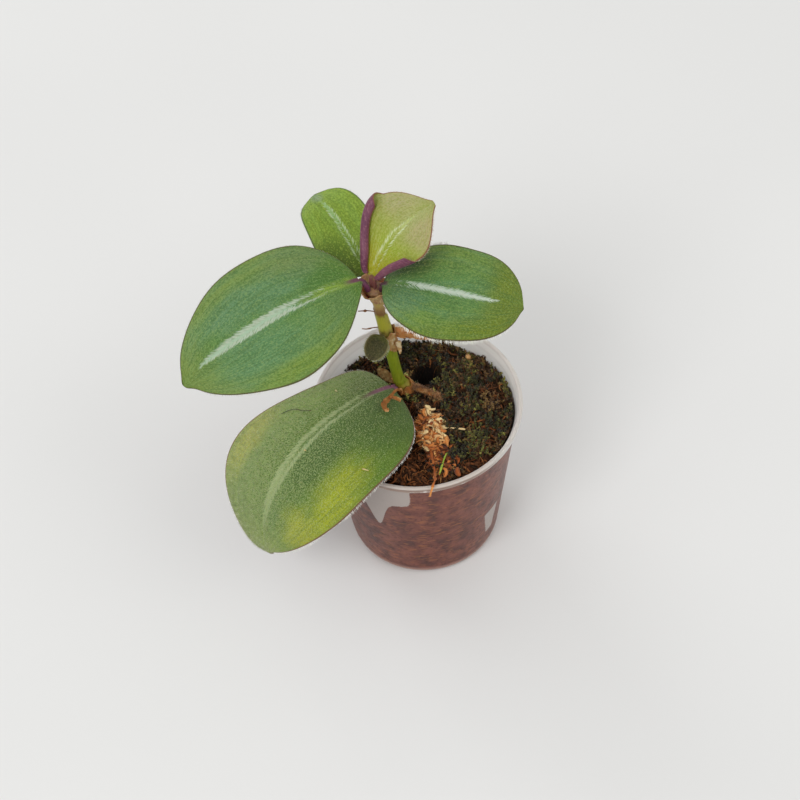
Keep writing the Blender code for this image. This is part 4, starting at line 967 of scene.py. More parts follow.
def sleeve(low, high, start, end, flare, ragged, seed, thickness=0.35, crumple=0.16, rows=26, columns=72):
    """A torn papery sleeve: rings about the stem between two angles, with a ragged lower edge.

    The distance from the stem's axis is the stem's radius plus a gap, a flare that grows with the square
    of the distance from the sleeve's middle, and crumpling noise."""
    angle = np.radians(np.linspace(start, end, columns))[None]
    share = np.linspace(0, 1, rows)[:, None]
    torn = ragged * (1 - share) * (0.5 + 0.5 * np.sin(3.1 * angle + 0.8))
    torn = torn + 0.4 * ragged * share * np.sin(5 * angle)
    torn = torn + (1 - share) * 0.5 * noise(np.stack([angle * 3, angle * 0, angle * 0], axis=-1), 0.25, seed)
    height = low + (high - low) * share + torn
    x, y, radius = stem_at(height)
    widest = np.maximum(radius, np.maximum(stem_at(height + 1)[2], stem_at(height - 1)[2]))
    away = widest + 0.3 + flare * (2 * share - 1) ** 2
    way = level_ways(angle, share)
    centre = np.stack([x, y, height], axis=-1)
    middle = centre + way * (away + 0.25)[..., None]
    wrinkle = crumple * layered_noise(middle * [1, 1, 0.45], 1.3, seed)
    outer, inner = (centre + way * (away + 0.25 + wrinkle + half)[..., None]
                    for half in (thickness / 2, -thickness / 2))
    # Seen along +Z the rings run with the turn, so the sleeve's outer side comes second
    ring = np.concatenate([inner[:, ::-1], outer], axis=1)
    return ring.reshape(-1, 3), shell_faces(rows, 2 * columns)


def ribbon(route, widths, up=(0.0, 0.0, 1.0), steps=60, thickness=0.3, crumple=0.2, cup=0.0, seed=0,
           columns=11):
    """A dry strip along a route: a flat cross-section carried along it, cupped, wrinkled and frayed."""
    line = curve_through(route, steps)
    share = np.linspace(0, 1, steps)
    width = np.interp(share, np.linspace(0, 1, len(widths)), widths)
    width = width * (1 + 0.18 * noise(line, 0.9, seed + 3))
    along = unit(np.gradient(line, axis=0))
    across = unit(np.cross(along, np.array(up, float)))
    normal = np.cross(across, along)[:, None]
    place = np.linspace(1, -1, columns)
    middle = line[:, None] + across[:, None] * (place[:, None] * width[:, None, None] / 2)
    wrinkle = crumple * layered_noise(middle, 1.0, seed) + cup * (place ** 2 - 0.3) * width[:, None] / 4
    half = thickness / 2 * np.sqrt(1.02 - place ** 2)
    under, over = (middle + normal * (wrinkle + side * half)[..., None] for side in (-1, 1))
    ring = np.concatenate([under, over[:, ::-1]], axis=1)
    return ring.reshape(-1, 3), shell_faces(steps, 2 * columns)


def node_sheath():
    """The papery remains of an old sheath and its shrivelled blade."""
    papery = dry_finish("papery_tan_leaf_sheath", "#e2d2ac", "#bc975e", "#8c6434", "#9c5c22", 0.7, 0.08)
    withered = dry_finish("withered_blade", "#ecdcb6", "#c48c4e", "#7c4c1e", "#93501a", 0.7, 0.08,
                          (110.0, 800.0, 800.0))
    route = [(-5.6, 11.5, 81.3), (-3.2, 11.3, 81.0), (0.1, 11.5, 79.4), (3.4, 11.6, 77.4), (5.8, 11.5, 76.2)]
    blade = ribbon(route, (3.0, 3.6, 2.6, 1.5, 0.4), (0.1, -0.5, 0.8), 90, 0.2, 0.22, 1.1, 42, 19)
    piece("withered_blade_remnant", *blade, withered, "node_sheath")
    shapes = joined(
        sleeve(74.9, 82.6, -96.0, 128.0, 0.25, 1.9, 41, 0.25, 0.1, 34, 90),
        ribbon([(-4.7, 9.4, 79.2), (-4.3, 9.0, 76.7), (-4.2, 8.7, 73.8)], (1.8, 1.5, 0.5), (0.3, -1.0, 0.0),
               30, 0.22, 0.15, 0.4, 43))
    piece("papery_node_sheath", *shapes, papery, "node_sheath")


def base_sheath():
    """The brown dry collar at the soil: a sleeve, a fuzzy tail, a ragged scrap and a curled strip."""
    dry = dry_finish("dry_brown_base_sheath", "#cfa066", "#935f28", "#57341a", "#a8642a", 0.8)
    tail = np.array([(-0.7, 8.1, 2.4), (1.2, 7.4, 2.1), (3.6, 6.4, 1.7), (6.4, 4.8, 1.2), (8.0, 3.6, 1.0)])
    tail[:, 2] += soil_level(tail[:, 0], tail[:, 1])
    tail_line = curve_through(tail, 60)
    bulge = (0.5, 0.9, 1.15, 1.2, 1.1, 0.9, 0.7, 0.5, 0.25)
    thick = np.interp(np.linspace(0, 1, 60), np.linspace(0, 1, 9), bulge)
    thick = thick * (0.92 + 0.22 * layered_noise(tail_line, 0.9, 51))
    curl = [
        (-4.7, 5.4, 57.8), (-4.6, 4.5, 60.6), (-5.2, 3.3, 63.0), (-6.6, 1.9, 64.2), (-8.0, -0.3, 64.7),
        (-9.1, -2.0, 65.3), (-9.9, -3.4, 65.9), (-10.3, -5.0, 66.3), (-9.8, -6.7, 66.6), (-8.9, -7.3, 66.9)]
    curl_widths = (1.1, 0.9, 0.8, 0.9, 1.2, 1.7, 1.9, 1.6, 0.9)
    shapes = joined(
        sleeve(56.1, 58.6, -112.0, 158.0, 0.2, 1.0, 52, rows=20, columns=110),
        rods(tail_line[None], thick[None], sides=14, flat=0.7),
        ribbon(curl, curl_widths, (0.2, -0.4, 0.9), 130, 0.22, 0.26, 0.9, 54, 13),
        ribbon([(-8.3, -0.9, 65.0), (-6.8, -1.5, 65.3), (-5.0, -2.1, 64.6)], (0.7, 1.1, 1.3),
               (0.1, -0.5, 0.8), 30, 0.25, 0.15, 0.6, 55))
    piece("dry_base_sheath", *shapes, dry, "base_sheath")
    tan = dry_finish("ragged_tan_scrap", "#b59a66", "#8d7040", "#5f4824", "#7a5a2c", 0.8)
    scrap = [
        (-6.0, 11.2, 56.5), (-7.2, 12.2, 56.5), (-8.6, 13.1, 56.8), (-10.1, 14.2, 57.6), (-11.4, 15.5, 58.4)]
    shapes = ribbon(scrap, (1.4, 2.6, 3.2, 2.8, 1.2), (0.2, -0.6, 0.8), 70, 0.25, 0.35, 0.4, 53, 15)
    piece("ragged_sheath_scrap", *shapes, tan, "base_sheath")
    draw = np.random.default_rng(56)
    count = 2000
    at = tail_line[draw.integers(0, 58, count)]
    way = unit(draw.normal(0, 1, (count, 3)) * [1, 1, 0.8] + [0.3, -0.2, 0.5])
    aim = way + draw.normal(0, 0.6, (count, 3))
    fuzz = spikes(at + way * 0.7, aim, draw.uniform(0.5, 1.5, count), 0.05)
    piece("base_sheath_fuzz", *fuzz, hair_finish("brown_fuzz", "#85562a", "#cf9860", 0.0), "base_sheath")


def crown_collar():
    """The leaf bases' short funnel round the crown: thin rings about the stem's line that widen upwards.

    The radius grows with the height's share to the power 2.2. The upper edge rises to a lobe at each
    stalk, and a little more at the front."""
    rows, columns = 22, 96
    share = np.linspace(0, 1, rows)[:, None]
    turn = np.linspace(0, 2 * math.pi, columns, endpoint=False)[None]
    left, right, front, back = (
        np.exp(-((np.cos(turn - math.radians(heading)) - 1) / 0.22) ** 2)
        for heading in (200.0, -30.0, 285.0, 110.0))
    lobes = np.minimum(left + right + front + back, 1.0)
    brim = FUNNEL_BRIM + 2.1 * lobes + 0.5 * front + 0.25 * np.sin(9 * turn + 0.7)
    height = FUNNEL_FOOT + (brim - FUNNEL_FOOT) * share
    x, y, radius = stem_at(np.minimum(height, CROWN[2]))
    way = level_ways(turn, share)
    centre = np.stack([x, y, height], axis=-1)
    away = radius + 0.1 + 1.9 * share ** 2.2 + 0.12 * np.sin(11 * turn) * share
    away = away + 0.1 * layered_noise(centre + way * away[..., None], 1.2, 31)
    skin = 0.16 - 0.06 * share
    inner, outer = (centre + way * (away + half)[..., None] for half in (-skin, skin))
    ring = np.concatenate([inner[::-1], outer])[::-1]
    finish = dry_finish("streaked_crown_sheath", "#dcc28c", "#b08e60", "#855444", "#8f5c48", 0.6,
                        lengthwise=(1500.0, 1500.0, 120.0))
    piece("crown_collar", ring.reshape(-1, 3), looped_faces(2 * rows, columns), finish, "stem")


def stem_scraps():
    """Thin dead threads at the nodes: a bent scar fibre and a dark wisp, each with a blob along it."""
    shapes = []
    for route, blob, middle, spread in (
            ([(-10.9, 11.4, 91.9), (-12.6, 11.6, 92.2), (-14.2, 12.2, 91.6), (-15.9, 12.3, 91.5)],
             0.3, 0.58, 0.08),
            ([(-10.3, 11.0, 84.8), (-12.0, 10.8, 84.9), (-13.8, 10.9, 84.4), (-15.2, 11.0, 84.6)],
             0.1, 0.5, 0.1)):
        thick = 0.16 + blob * np.exp(-((np.linspace(0, 1, 24) - middle) / spread) ** 2)
        shapes.append(rods(curve_through(route, 24)[None], thick[None], sides=8))
    thread = dry_finish("dead_brown_thread", "#9a6a34", "#7a4d22", "#4c2c14", "#6a3c18")
    piece("node_threads", *joined(*shapes), thread, "stem")


# Filling

def bump(x, y, place, spread):
    """A round hill of height 1 at a place, which fades over the spread."""
    return np.exp(-((x - place[0]) ** 2 + (y - place[1]) ** 2) / spread ** 2)


def soil_level(x, y):
    """The filling's surface in the part: tilted to the front, mounded, lumpy, with a dent by the stem."""
    level = SOIL_MID_LEVEL - SOIL_TILT * y / 28.0
    level = level + MOUND * bump(x, y, (0, 4), 17)
    level = level + 0.45 * np.sin(0.42 * x + 1.3) * np.cos(0.37 * y - 0.6)
    level = level + 0.3 * np.sin(0.81 * x - 0.58 * y) + 0.25 * np.cos(0.66 * x + 0.93 * y)
    level = level - 2.6 * bump(x, y, (3.2, 15.5), 4.5)
    level = level + 1.3 * bump(x, y, (20.0, 3.0), 6.5) - 1.0 * bump(x, y, (9.5, -2.5), 4.0)
    return level + 0.8 * bump(x, y, (13.5, 15.0), 5.0) - 0.8 * bump(x, y, (-20.0, 16.0), 6.0)


def off_stem(x, y):
    """How far a place is from the middle of the stem's foot."""
    return np.hypot(x - STEM_FOOT[0], y - STEM_FOOT[1])


def rough_level(x, y):
    """The surface with its clods: the part's level plus noise 4 mm and 1.2 mm wide, less the hole."""
    flat = np.stack([x, y, 0 * x], axis=-1)
    clods = 1.25 * layered_noise(flat, 4.6, 61, 2) + 0.5 * layered_noise(flat, 1.4, 63, 2)
    calm = np.clip(off_stem(x, y) / 4.5 - 0.7, 0, 1)
    return soil_level(x, y) + clods * calm - HOLE_DEPTH * hollow(x, y)


def hollow(x, y):
    """The dark hole behind the stem's foot: 1 in its middle, and 0 outside its oval edge."""
    return np.clip(1.6 - 1.6 * np.hypot((x - HOLE[0]) / 5.9, (y - HOLE[1]) / 4.4), 0, 1)


def wall_radius(height):
    """The pot's outer radius at a height."""
    rise = (height - FOOT_HEIGHT) / (POT_HEIGHT - RIM_DEPTH - FOOT_HEIGHT)
    return WALL_FOOT_RADIUS + (WALL_TOP_RADIUS - WALL_FOOT_RADIUS) * rise


def wall_dent(degrees, height):
    """How far the filling stands off the wall: a wide hollow at the front left, a narrow one at the right."""
    wide = 3.0 * np.exp(-((degrees + 121) / 17) ** 4 - ((height - 51) / 9.5) ** 4)
    lower = 2.4 * np.exp(-((degrees + 122) / 8) ** 2 - ((height - 37) / 8.5) ** 2)
    narrow = 2.4 * np.exp(-((degrees + 36) / 8) ** 2 - ((height - 17) / 9.0) ** 2)
    return wide + lower + narrow


def earth_finish():
    """Potting earth of broken coir and bark: nearly black brown, redder and coarser at the front, greener
    at the right and the back, dull."""
    made, tree, shader = new_finish("dark_coir_earth", {
        "Roughness": 0.9, "IOR": 1.4, "Specular IOR Level": 0.3})
    where = add(tree, "TexCoord").outputs["Object"]
    x, y, _ = add(tree, "SeparateXYZ", {0: where}).outputs
    # Crumbs 0.7 mm wide in clods 3 mm wide
    crumb, clod = (
        add(tree, "TexNoise", {"Vector": where, "Scale": scale, "Detail": 3.0}) for scale in (1400.0, 330.0))
    lean = add(tree, "Math", {0: x, 1: 0.55, 2: y}, operation="MULTIPLY_ADD")
    # The near-black colour in and round the hole behind the stem's foot is painted shade in the hollow.
    hole = add(tree, "VectorMath", {0: where, 1: (0.0034, 0.0155, 0.05)}, operation="DISTANCE")
    mask = soft_masks(tree, (
        ("front", y, -0.008, -0.024, 0.75), ("green", lean, -0.004, 0.014, 0.8),
        ("clod", clod, 0.48, 0.62, 0.8), ("crumb", crumb, 0.5, 0.66, 0.7), ("dark", clod, 0.5, 0.36, 0.85),
        ("deep", hole.outputs["Value"], 0.0062, 0.0035, 0.9)))
    both_masks(tree, mask, (("moss", "green", "clod"),))
    wire(tree, shader, {
        "Base Color": painted(tree, "#2e1e13", [
            (mask["crumb"], "#4c3220"), (mask["front"], "#452415"), (mask["moss"], "#333218"),
            (mask["dark"], "#140e0a"), (mask["deep"], "#0c0908")]),
        "Normal": add(tree, "Bump", {"Strength": 0.9, "Distance": 0.0005, "Height": crumb})})
    return made


def tinted_finish(name, stops, roughness=0.8, sheen=0.0):
    """Loose bits whose colour goes by each bit's own tint, from 0 to 1, with a mottled surface."""
    made, tree, shader = new_finish(name, {
        "Roughness": roughness, "IOR": 1.4, "Specular IOR Level": 0.35, "Sheen Weight": sheen})
    tint = add(tree, "Attribute", attribute_name="tint").outputs["Fac"]
    where = add(tree, "TexCoord").outputs["Object"]
    mottle = add(tree, "TexNoise", {"Vector": where, "Scale": 1600.0, "Detail": 2.0})
    shifted = add(tree, "Math", {0: mottle, 1: 0.3, 2: tint}, operation="MULTIPLY_ADD")
    low = add(tree, "Math", {0: shifted, 1: 0.15}, operation="SUBTRACT")
    wire(tree, shader, {
        "Base Color": add(tree, "ValToRGB", {0: low}, stops=stops),
        "Normal": add(tree, "Bump", {"Strength": 0.4, "Distance": 0.0002, "Height": mottle})})
    return made


def filling():
    """The filling's body: rings up the wall with its dents, then rings over the rough surface."""
    sides = 240
    turn = turns(sides)
    degrees = np.degrees((turn + math.pi) % (2 * math.pi) - math.pi)
    floor = FLOOR + 0.4
    brim_radius = wall_radius(BRIM_LEVEL) - WALL - 0.3
    top = soil_level(brim_radius * np.cos(turn), brim_radius * np.sin(turn))
    height = floor + (top - floor) * np.linspace(0, 1, 60)[:, None]
    foot = 1.8 * np.clip((FOOT_HEIGHT + 3 - height) / 2, 0, 1)
    radius = wall_radius(height) - WALL - FILLING_GAP - foot - wall_dent(degrees, height)
    wall = turned(radius, turn, height)
    wall[..., :2] *= (1 + 0.25 * np.minimum(layered_noise(wall, 1.6, 71), 0) / radius)[..., None]
    inward = np.linspace(0.985, 0.03, 88)[:, None]
    over = turned(radius[-1] * inward, turn, 0.0)
    over[..., 2] = rough_level(over[..., 0], over[..., 1])
    inner = wall[0] * [0.03, 0.03, 1.0]
    rings = np.concatenate([inner[None], wall, over])
    piece("mossy_filling", rings.reshape(-1, 3), shell_faces(len(rings), sides), earth_finish(), "substrate")


def free_spots(draw, count, inside=28.6, front=None):
    """Random places on the surface that keep off the stem's foot and the hole.

    front is a slope to the right, one to the back and an offset: the more their sum, the more places."""
    places = draw.uniform(-29, 29, (count * 3, 2))
    keep = np.hypot(*places.T) < inside
    keep &= off_stem(*places.T) > 3.6
    keep &= hollow(*places.T) < 0.25
    if front is not None:
        chance = 1 / (1 + np.exp(-(places @ np.array(front[:2]) + front[2])))
        keep &= draw.random(len(places)) < chance
    return places[keep][:count]


def kept_in(lines, room=0.5):
    """The same lines, pulled inside the pot's wall and off its rim."""
    limit = wall_radius(lines[..., 2]) - WALL - room
    reach = np.hypot(lines[..., 0], lines[..., 1])
    lines = lines.copy()
    lines[..., :2] *= np.minimum(1.0, limit / np.maximum(reach, 1e-6))[..., None]
    return lines


def coir_fibres():
    """Lying coir strands: each bows up from the surface and down again, in a random direction."""
    draw = np.random.default_rng(81)
    at = free_spots(draw, 2600, 28.4)
    count, steps = len(at), 6
    turn = draw.uniform(0, 2 * math.pi, count)
    length = draw.uniform(1.2, 4.2, count)
    bend = draw.uniform(-2.4, 2.4, count)
    share = np.linspace(0, 1, steps)
    way = turn[:, None] + bend[:, None] * share
    x = at[:, :1] + length[:, None] * share * np.cos(way)
    y = at[:, 1:] + length[:, None] * share * np.sin(way)
    rise = draw.uniform(0.15, 1.1, count)[:, None] * np.sin(math.pi * (0.15 + 0.75 * share))
    lines = kept_in(np.stack([x, y, rough_level(x, y) + rise - 0.12], axis=-1))
    thick = draw.uniform(0.1, 0.42, count)[:, None] * np.array([0.8, 1.0, 1.0, 0.9, 0.7, 0.35])
    thick[hollow(x, y).max(axis=1) > 0.3] *= 0.12
    shapes = rods(lines, thick, 4, 0.6, draw.uniform(0, 3, count)[:, None] + 1.5 * share)
    front = 1 / (1 + np.exp((at[:, 1] + 0.25 * at[:, 0] + 9) / 3.5))
    tint = np.clip(0.36 + 0.12 * front + draw.normal(0, 0.2, count), 0, 1)
    finish = tinted_finish("brown_coir_fibre", (
        (0.0, "#140d09"), (1.0, "#b98350"), (0.2, "#33200f"), (0.45, "#5a3820"), (0.7, "#8a5028")))
    piece("coir_fibres", *shapes, finish, "substrate", {"tint": np.repeat(tint, steps * 4)})


def moss_shoots():
    """Moss shoots in tufts: each a short leaning stem with pointed leaflets set round it in a spiral.

    Some tufts are dead and brown. A row of taller shoots stands along the wall."""
    draw = np.random.default_rng(91)
    tufts = free_spots(draw, 150, 28.0, (0.2, 0.12, 0.9))
    which = draw.integers(0, len(tufts), 2000)
    at = tufts[which] + draw.normal(0, 1.15, (2000, 2))
    keep = (np.hypot(*at.T) < 29.0) & (hollow(*at.T) < 0.02) & (off_stem(*at.T) > 3.4)
    at, which = at[keep], which[keep]
    inside, by_wall, leaflets = len(at), 330, 10
    round_wall = np.radians(draw.uniform(-38, 215, by_wall))
    ring = (29.0 - draw.exponential(0.5, by_wall))[:, None]
    at = np.vstack([at, ring * np.column_stack([np.cos(round_wall), np.sin(round_wall)])])
    which = np.concatenate([which, draw.integers(0, len(tufts), by_wall)])
    count = len(at)
    away = np.hypot(*(at - tufts[which]).T)
    away[inside:] = draw.uniform(0, 1.6, by_wall)
    height = draw.uniform(0.7, 1.8, count) + 1.5 * np.exp(-(away / 1.3) ** 2)
    pull = 0.35 * (at - tufts[which])
    pull[inside:] = 0
    lean = draw.normal(0, 0.5, (count, 2)) + pull
    foot = np.column_stack([at, rough_level(*at.T) - 0.3])
    axis = unit(np.column_stack([lean, np.ones(count)]))
    share = np.linspace(0, 1, 4)[None, :, None]
    lines = kept_in(foot[:, None] + axis[:, None] * (height[:, None, None] + 0.3) * share)
    k = np.arange(leaflets)
    up = (0.25 + 0.75 * k / (leaflets - 1))[None, :, None]
    turn = 2.4 * k[None] + draw.uniform(0, 6.28, (count, 1))
    side = np.stack([np.cos(turn), np.sin(turn), np.full_like(turn, 0.55)], axis=-1)
    roots = lines[:, :1] + (lines[:, -1:] - lines[:, :1]) * up
    lengths = draw.uniform(0.6, 1.3, (count, leaflets)) * (1.15 - 0.5 * up[..., 0])
    tips = kept_in(roots + unit(side) * lengths[..., None])
    mood = draw.normal(0.0, 0.17, len(tufts))[which]
    # Shoots near a tuft's middle, which stand tallest, get a lighter tint: painted light on the tufts' tops,
    # and painted shade on the lower shoots round them.
    tint = 0.36 + mood + 0.3 * np.exp(-(away / 1.2) ** 2) * draw.random(count) + draw.normal(0, 0.12, count)
    dead = (draw.random(len(tufts)) < 0.42)[which]
    for finish_name, name, mine, stops in (
            ("dark_green_moss", "moss", ~dead, (
                (0.0, "#14110a"), (1.0, "#b0ab52"), (0.2, "#262410"), (0.42, "#3f401a"), (0.6, "#5c5c28"),
                (0.8, "#86813a"))),
            ("dead_brown_moss", "brown_moss", dead, (
                (0.0, "#130e0a"), (1.0, "#a98a52"), (0.2, "#2a1c0f"), (0.42, "#4a3219"), (0.6, "#6b4a26"),
                (0.8, "#8c6c38")))):
        finish = tinted_finish(finish_name, stops, 0.75, 0.1)
        some = np.clip(tint[mine], 0, 1)
        stems = rods(lines[mine], 0.2 * np.array([1.0, 0.9, 0.7, 0.3]))
        start, aim = roots[mine].reshape(-1, 3), (tips - roots)[mine].reshape(-1, 3)
        fins = spikes(start, aim, np.linalg.norm(aim, axis=1), 0.27)
        fin_tints = np.clip(some[:, None] + draw.normal(0, 0.12, (len(some), leaflets)), 0, 1).ravel()
        piece(name + "_shoots", *stems, finish, "substrate", {"tint": np.repeat(some, 16)})
        piece(name + "_leaflets", *fins, finish, "substrate", {"tint": np.repeat(fin_tints, 4)})


def crumbs():
    """Loose crumbs of bark and coir pith all over the surface, a few of them pale.

    Each has eight faces between six corners at random distances from its middle, flattened."""
    draw = np.random.default_rng(101)
    at = free_spots(draw, 1700, 28.6)
    count = len(at)
    sizes = draw.uniform(0.25, 0.85, count)
    place = kept_in(np.column_stack([at, rough_level(*at.T) + 0.15]), 1.0)
    corners = np.array([[1, 0, 0], [-1, 0, 0], [0, 1, 0], [0, -1, 0], [0, 0, 1], [0, 0, -1]], float)
    shape = corners * draw.uniform(0.55, 1.15, (count, 6, 1)) * [1, 0.8, 0.7]
    spin = draw.uniform(0, 2 * math.pi, count)[:, None]
    x, y, z = np.moveaxis(shape, -1, 0)
    spun = np.stack([np.cos(spin) * x - np.sin(spin) * y, np.sin(spin) * x + np.cos(spin) * y, z], axis=-1)
    points = place[:, None] + spun * sizes[:, None, None]
    block = np.array([[0, 2, 4], [2, 1, 4], [1, 3, 4], [3, 0, 4], [2, 0, 5], [1, 2, 5], [3, 1, 5], [0, 3, 5]])
    front = 1 / (1 + np.exp((at[:, 1] + 10) / 4))
    tint = np.clip(0.1 + 0.3 * front + draw.exponential(0.13, count), 0, 1)
    finish = tinted_finish("bark_and_pith_crumb", (
        (0.0, "#140d09"), (1.0, "#b98a54"), (0.3, "#3a2516"), (0.6, "#643c22"), (0.85, "#8a5a34")), 0.85)
    piece("bark_crumbs", points.reshape(-1, 3), repeated(block, count, 6), finish, "substrate",
          {"tint": np.repeat(tint, 6)}, smooth=False)


def moss_clump():
    """The dead sphagnum clump: flat curled strands heaped over the part's clump, with a thinner trail to
    the front. Returns the strands and a tint for each point."""
    draw = np.random.default_rng(111)
    count, steps, trail = 560, 7, 180
    turn = draw.uniform(0, 2 * math.pi, count)
    reach = np.sqrt(draw.uniform(0, 1, count)) * 0.95
    x0 = 3.2 + reach * 4.4 * np.cos(turn)
    y0 = -9.2 + reach * 8.2 * np.sin(turn)
    forward = draw.uniform(0, 1, trail)
    x0[:trail] = 4.6 + 2.0 * forward + draw.normal(0, 1.5, trail)
    y0[:trail] = -14.5 - 10.5 * forward + draw.normal(0, 0.8, trail)
    heading = draw.uniform(0, 2 * math.pi, count)[:, None]
    length = draw.uniform(1.3, 3.9, count)[:, None]
    bend = draw.uniform(-2.6, 2.6, count)[:, None]
    share = np.linspace(0, 1, steps)
    way = heading + bend * share
    step = length / (steps - 1)
    x = x0[:, None] + np.cumsum(np.cos(way) * step, axis=1) - length / 2 * np.cos(heading)
    y = y0[:, None] + np.cumsum(np.sin(way) * step, axis=1) - length / 2 * np.sin(heading)
    lift = draw.uniform(0.5, 2.9, count)[:, None] + draw.uniform(-0.6, 0.5, count)[:, None] * share
    lift[:trail] = 0.4 + 0.5 * lift[:trail]
    lines = kept_in(np.stack([x, y, soil_level(x, y) + lift], axis=-1))
    thick = (0.24 + 0.85 * draw.random(count) ** 2)[:, None] * np.array([0.5, 0.85, 1.0, 1.0, 0.9, 0.75, 0.4])
    twist = draw.normal(0, 0.9, count)[:, None] + draw.normal(0, 1.6, count)[:, None] * share
    tint = np.clip(draw.normal(0.57, 0.25, count), 0, 1)
    tint[:trail] = np.clip(draw.normal(0.26, 0.2, trail), 0, 1)
    bright = (np.abs((x0 - 5.4) + 0.35 * (y0 + 8.0)) < 1.1) & (y0 > -16.0)
    tint = np.where(bright, np.clip(tint + 0.35, 0, 1), tint)
    return rods(lines, thick, 4, 0.22, twist), np.repeat(tint, steps * 4)


def dry_moss():
    """The dead sphagnum: the clump, one pale strand to the right, and one that hangs over the front rim."""
    clump, clump_tint = moss_clump()
    pale = np.array([(6.0, -8.6), (8.6, -8.8), (11.4, -9.4), (14.0, -9.2)])
    pale = curve_through(np.column_stack([pale, soil_level(*pale.T) + (1.2, 2.0, 1.9, 1.5)]), 30)
    over = curve_through([
        (3.0, -15.0, 58.0), (3.2, -19.0, 58.6), (3.6, -24.0, 59.0), (3.7, -27.6, 59.8), (3.3, -30.6, 61.0),
        (2.6, -32.7, 61.0), (2.1, -33.9, 59.6), (1.9, -34.0, 58.2)], 50)
    over = over + 0.35 * np.stack([noise(over, 1.7, seed) for seed in (114, 115, 116)], axis=-1)
    shapes = joined(
        clump, rods(pale[None], (0.32 * (1 + 0.6 * noise(pale, 1.2, 112)))[None], 8, 0.7),
        rods(over[None], (0.34 * (1 + 0.6 * layered_noise(over, 1.1, 113)))[None], 8, 0.5))
    over_tint = np.repeat(0.3 + 0.3 * (np.arange(50) > 34) + 0.12 * noise(over, 1.3, 117), 8)
    tint = np.concatenate([clump_tint, np.full(30 * 8, 0.95), over_tint])
    finish = tinted_finish("dead_sphagnum_strand", (
        (0.0, "#5a2c14"), (1.0, "#f2d8a0"), (0.25, "#9c5224"), (0.5, "#cc7c3c"), (0.75, "#dca05c")), 0.8, 0.1)
    piece("dry_moss_clump", *shapes, finish, "dry_moss", {"tint": tint})


def green_sprig():
    """The bright grass-like blade at the front, thinner at its tip."""
    finish = dry_finish("fresh_green_sprig", "#c2d055", "#98b038", "#708a28", "#86a032", 0.5)
    route = curve_through([
        (8.1, -17.8, 54.8), (8.0, -18.0, 57.4), (7.2, -20.2, 58.8), (6.4, -23.0, 59.6), (5.6, -25.6, 59.7),
        (5.1, -27.2, 59.4)], 40)
    thick = np.linspace(0.27, 0.34, 40) * (1 + 0.35 * noise(route, 1.1, 121))
    thick[-9:] *= np.linspace(0.95, 0.2, 9)
    piece("green_grass_sprig", *rods(route[None], thick[None], 8, 0.6), finish, "green_sprig")


def grain(name, node, colours, roughness, centre, radius, seed):
    """A small round grain: a sphere of 24 rings, dimpled by noise."""
    rows, sides = 24, 32
    polar = np.linspace(0.06, math.pi - 0.06, rows)[::-1, None]
    way = turned(np.sin(polar), turns(sides), np.cos(polar))
    surface = np.array(centre) + way * radius * (1 + 0.05 * layered_noise(way, 0.5, seed))[..., None]
    piece(name, surface.reshape(-1, 3), shell_faces(rows, sides), dry_finish(*colours, roughness), node)


def grains():
    """The white ball and the tan pellet on the filling, and a pale bud behind the stem's foot."""
    white, tan = ((np.array(low) + np.array(high)) / 2 / MM
                  for low, high in (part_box("pale_bead"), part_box("tan_bead")))
    for row in (
            ("white_grain", "pale_bead", ("white_perlite_grain", "#f4f1ea", "#dcd7cc", "#b8b2a4", "#cfc8ba"),
             0.6, white, 0.6, 131),
            ("tan_grain", "tan_bead", ("tan_fertiliser_grain", "#d0a468", "#b98a54", "#8a6234", "#a57844"),
             0.5, tan, 0.85, 132),
            ("pale_moss_bud", "substrate", ("pale_green_bud", "#c8c878", "#a8a850", "#7c7c30", "#96963e"),
             0.6, (-3.0, 14.6, 55.3), 0.8, 133)):
        grain(*row)


# Pot

def pot_marks(points):
    """For every point of the pot: how deep it lies in a pale patch, and how far above the filling's edge."""
    x, y, z = points.T
    degrees = np.degrees(np.arctan2(y, x))
    low_edge = 45.5 - 15.5 * np.exp(-((degrees + 121.5) / 6.5) ** 2)
    beside = np.minimum(-98 - degrees, degrees + 142) * 0.5
    wide = -1.4 * np.logaddexp(-(z - low_edge) / 1.4, -beside / 1.4)
    left, right = degrees + 46 - 0.37 * (23.5 - z), -30 - degrees - 0.22 * (23.5 - z)
    narrow = np.minimum(np.minimum(23.5 - z, z - 10), np.minimum(left, right) * 0.45)
    return {"patch": np.maximum(wide, narrow), "above": z - soil_level(x, y)}


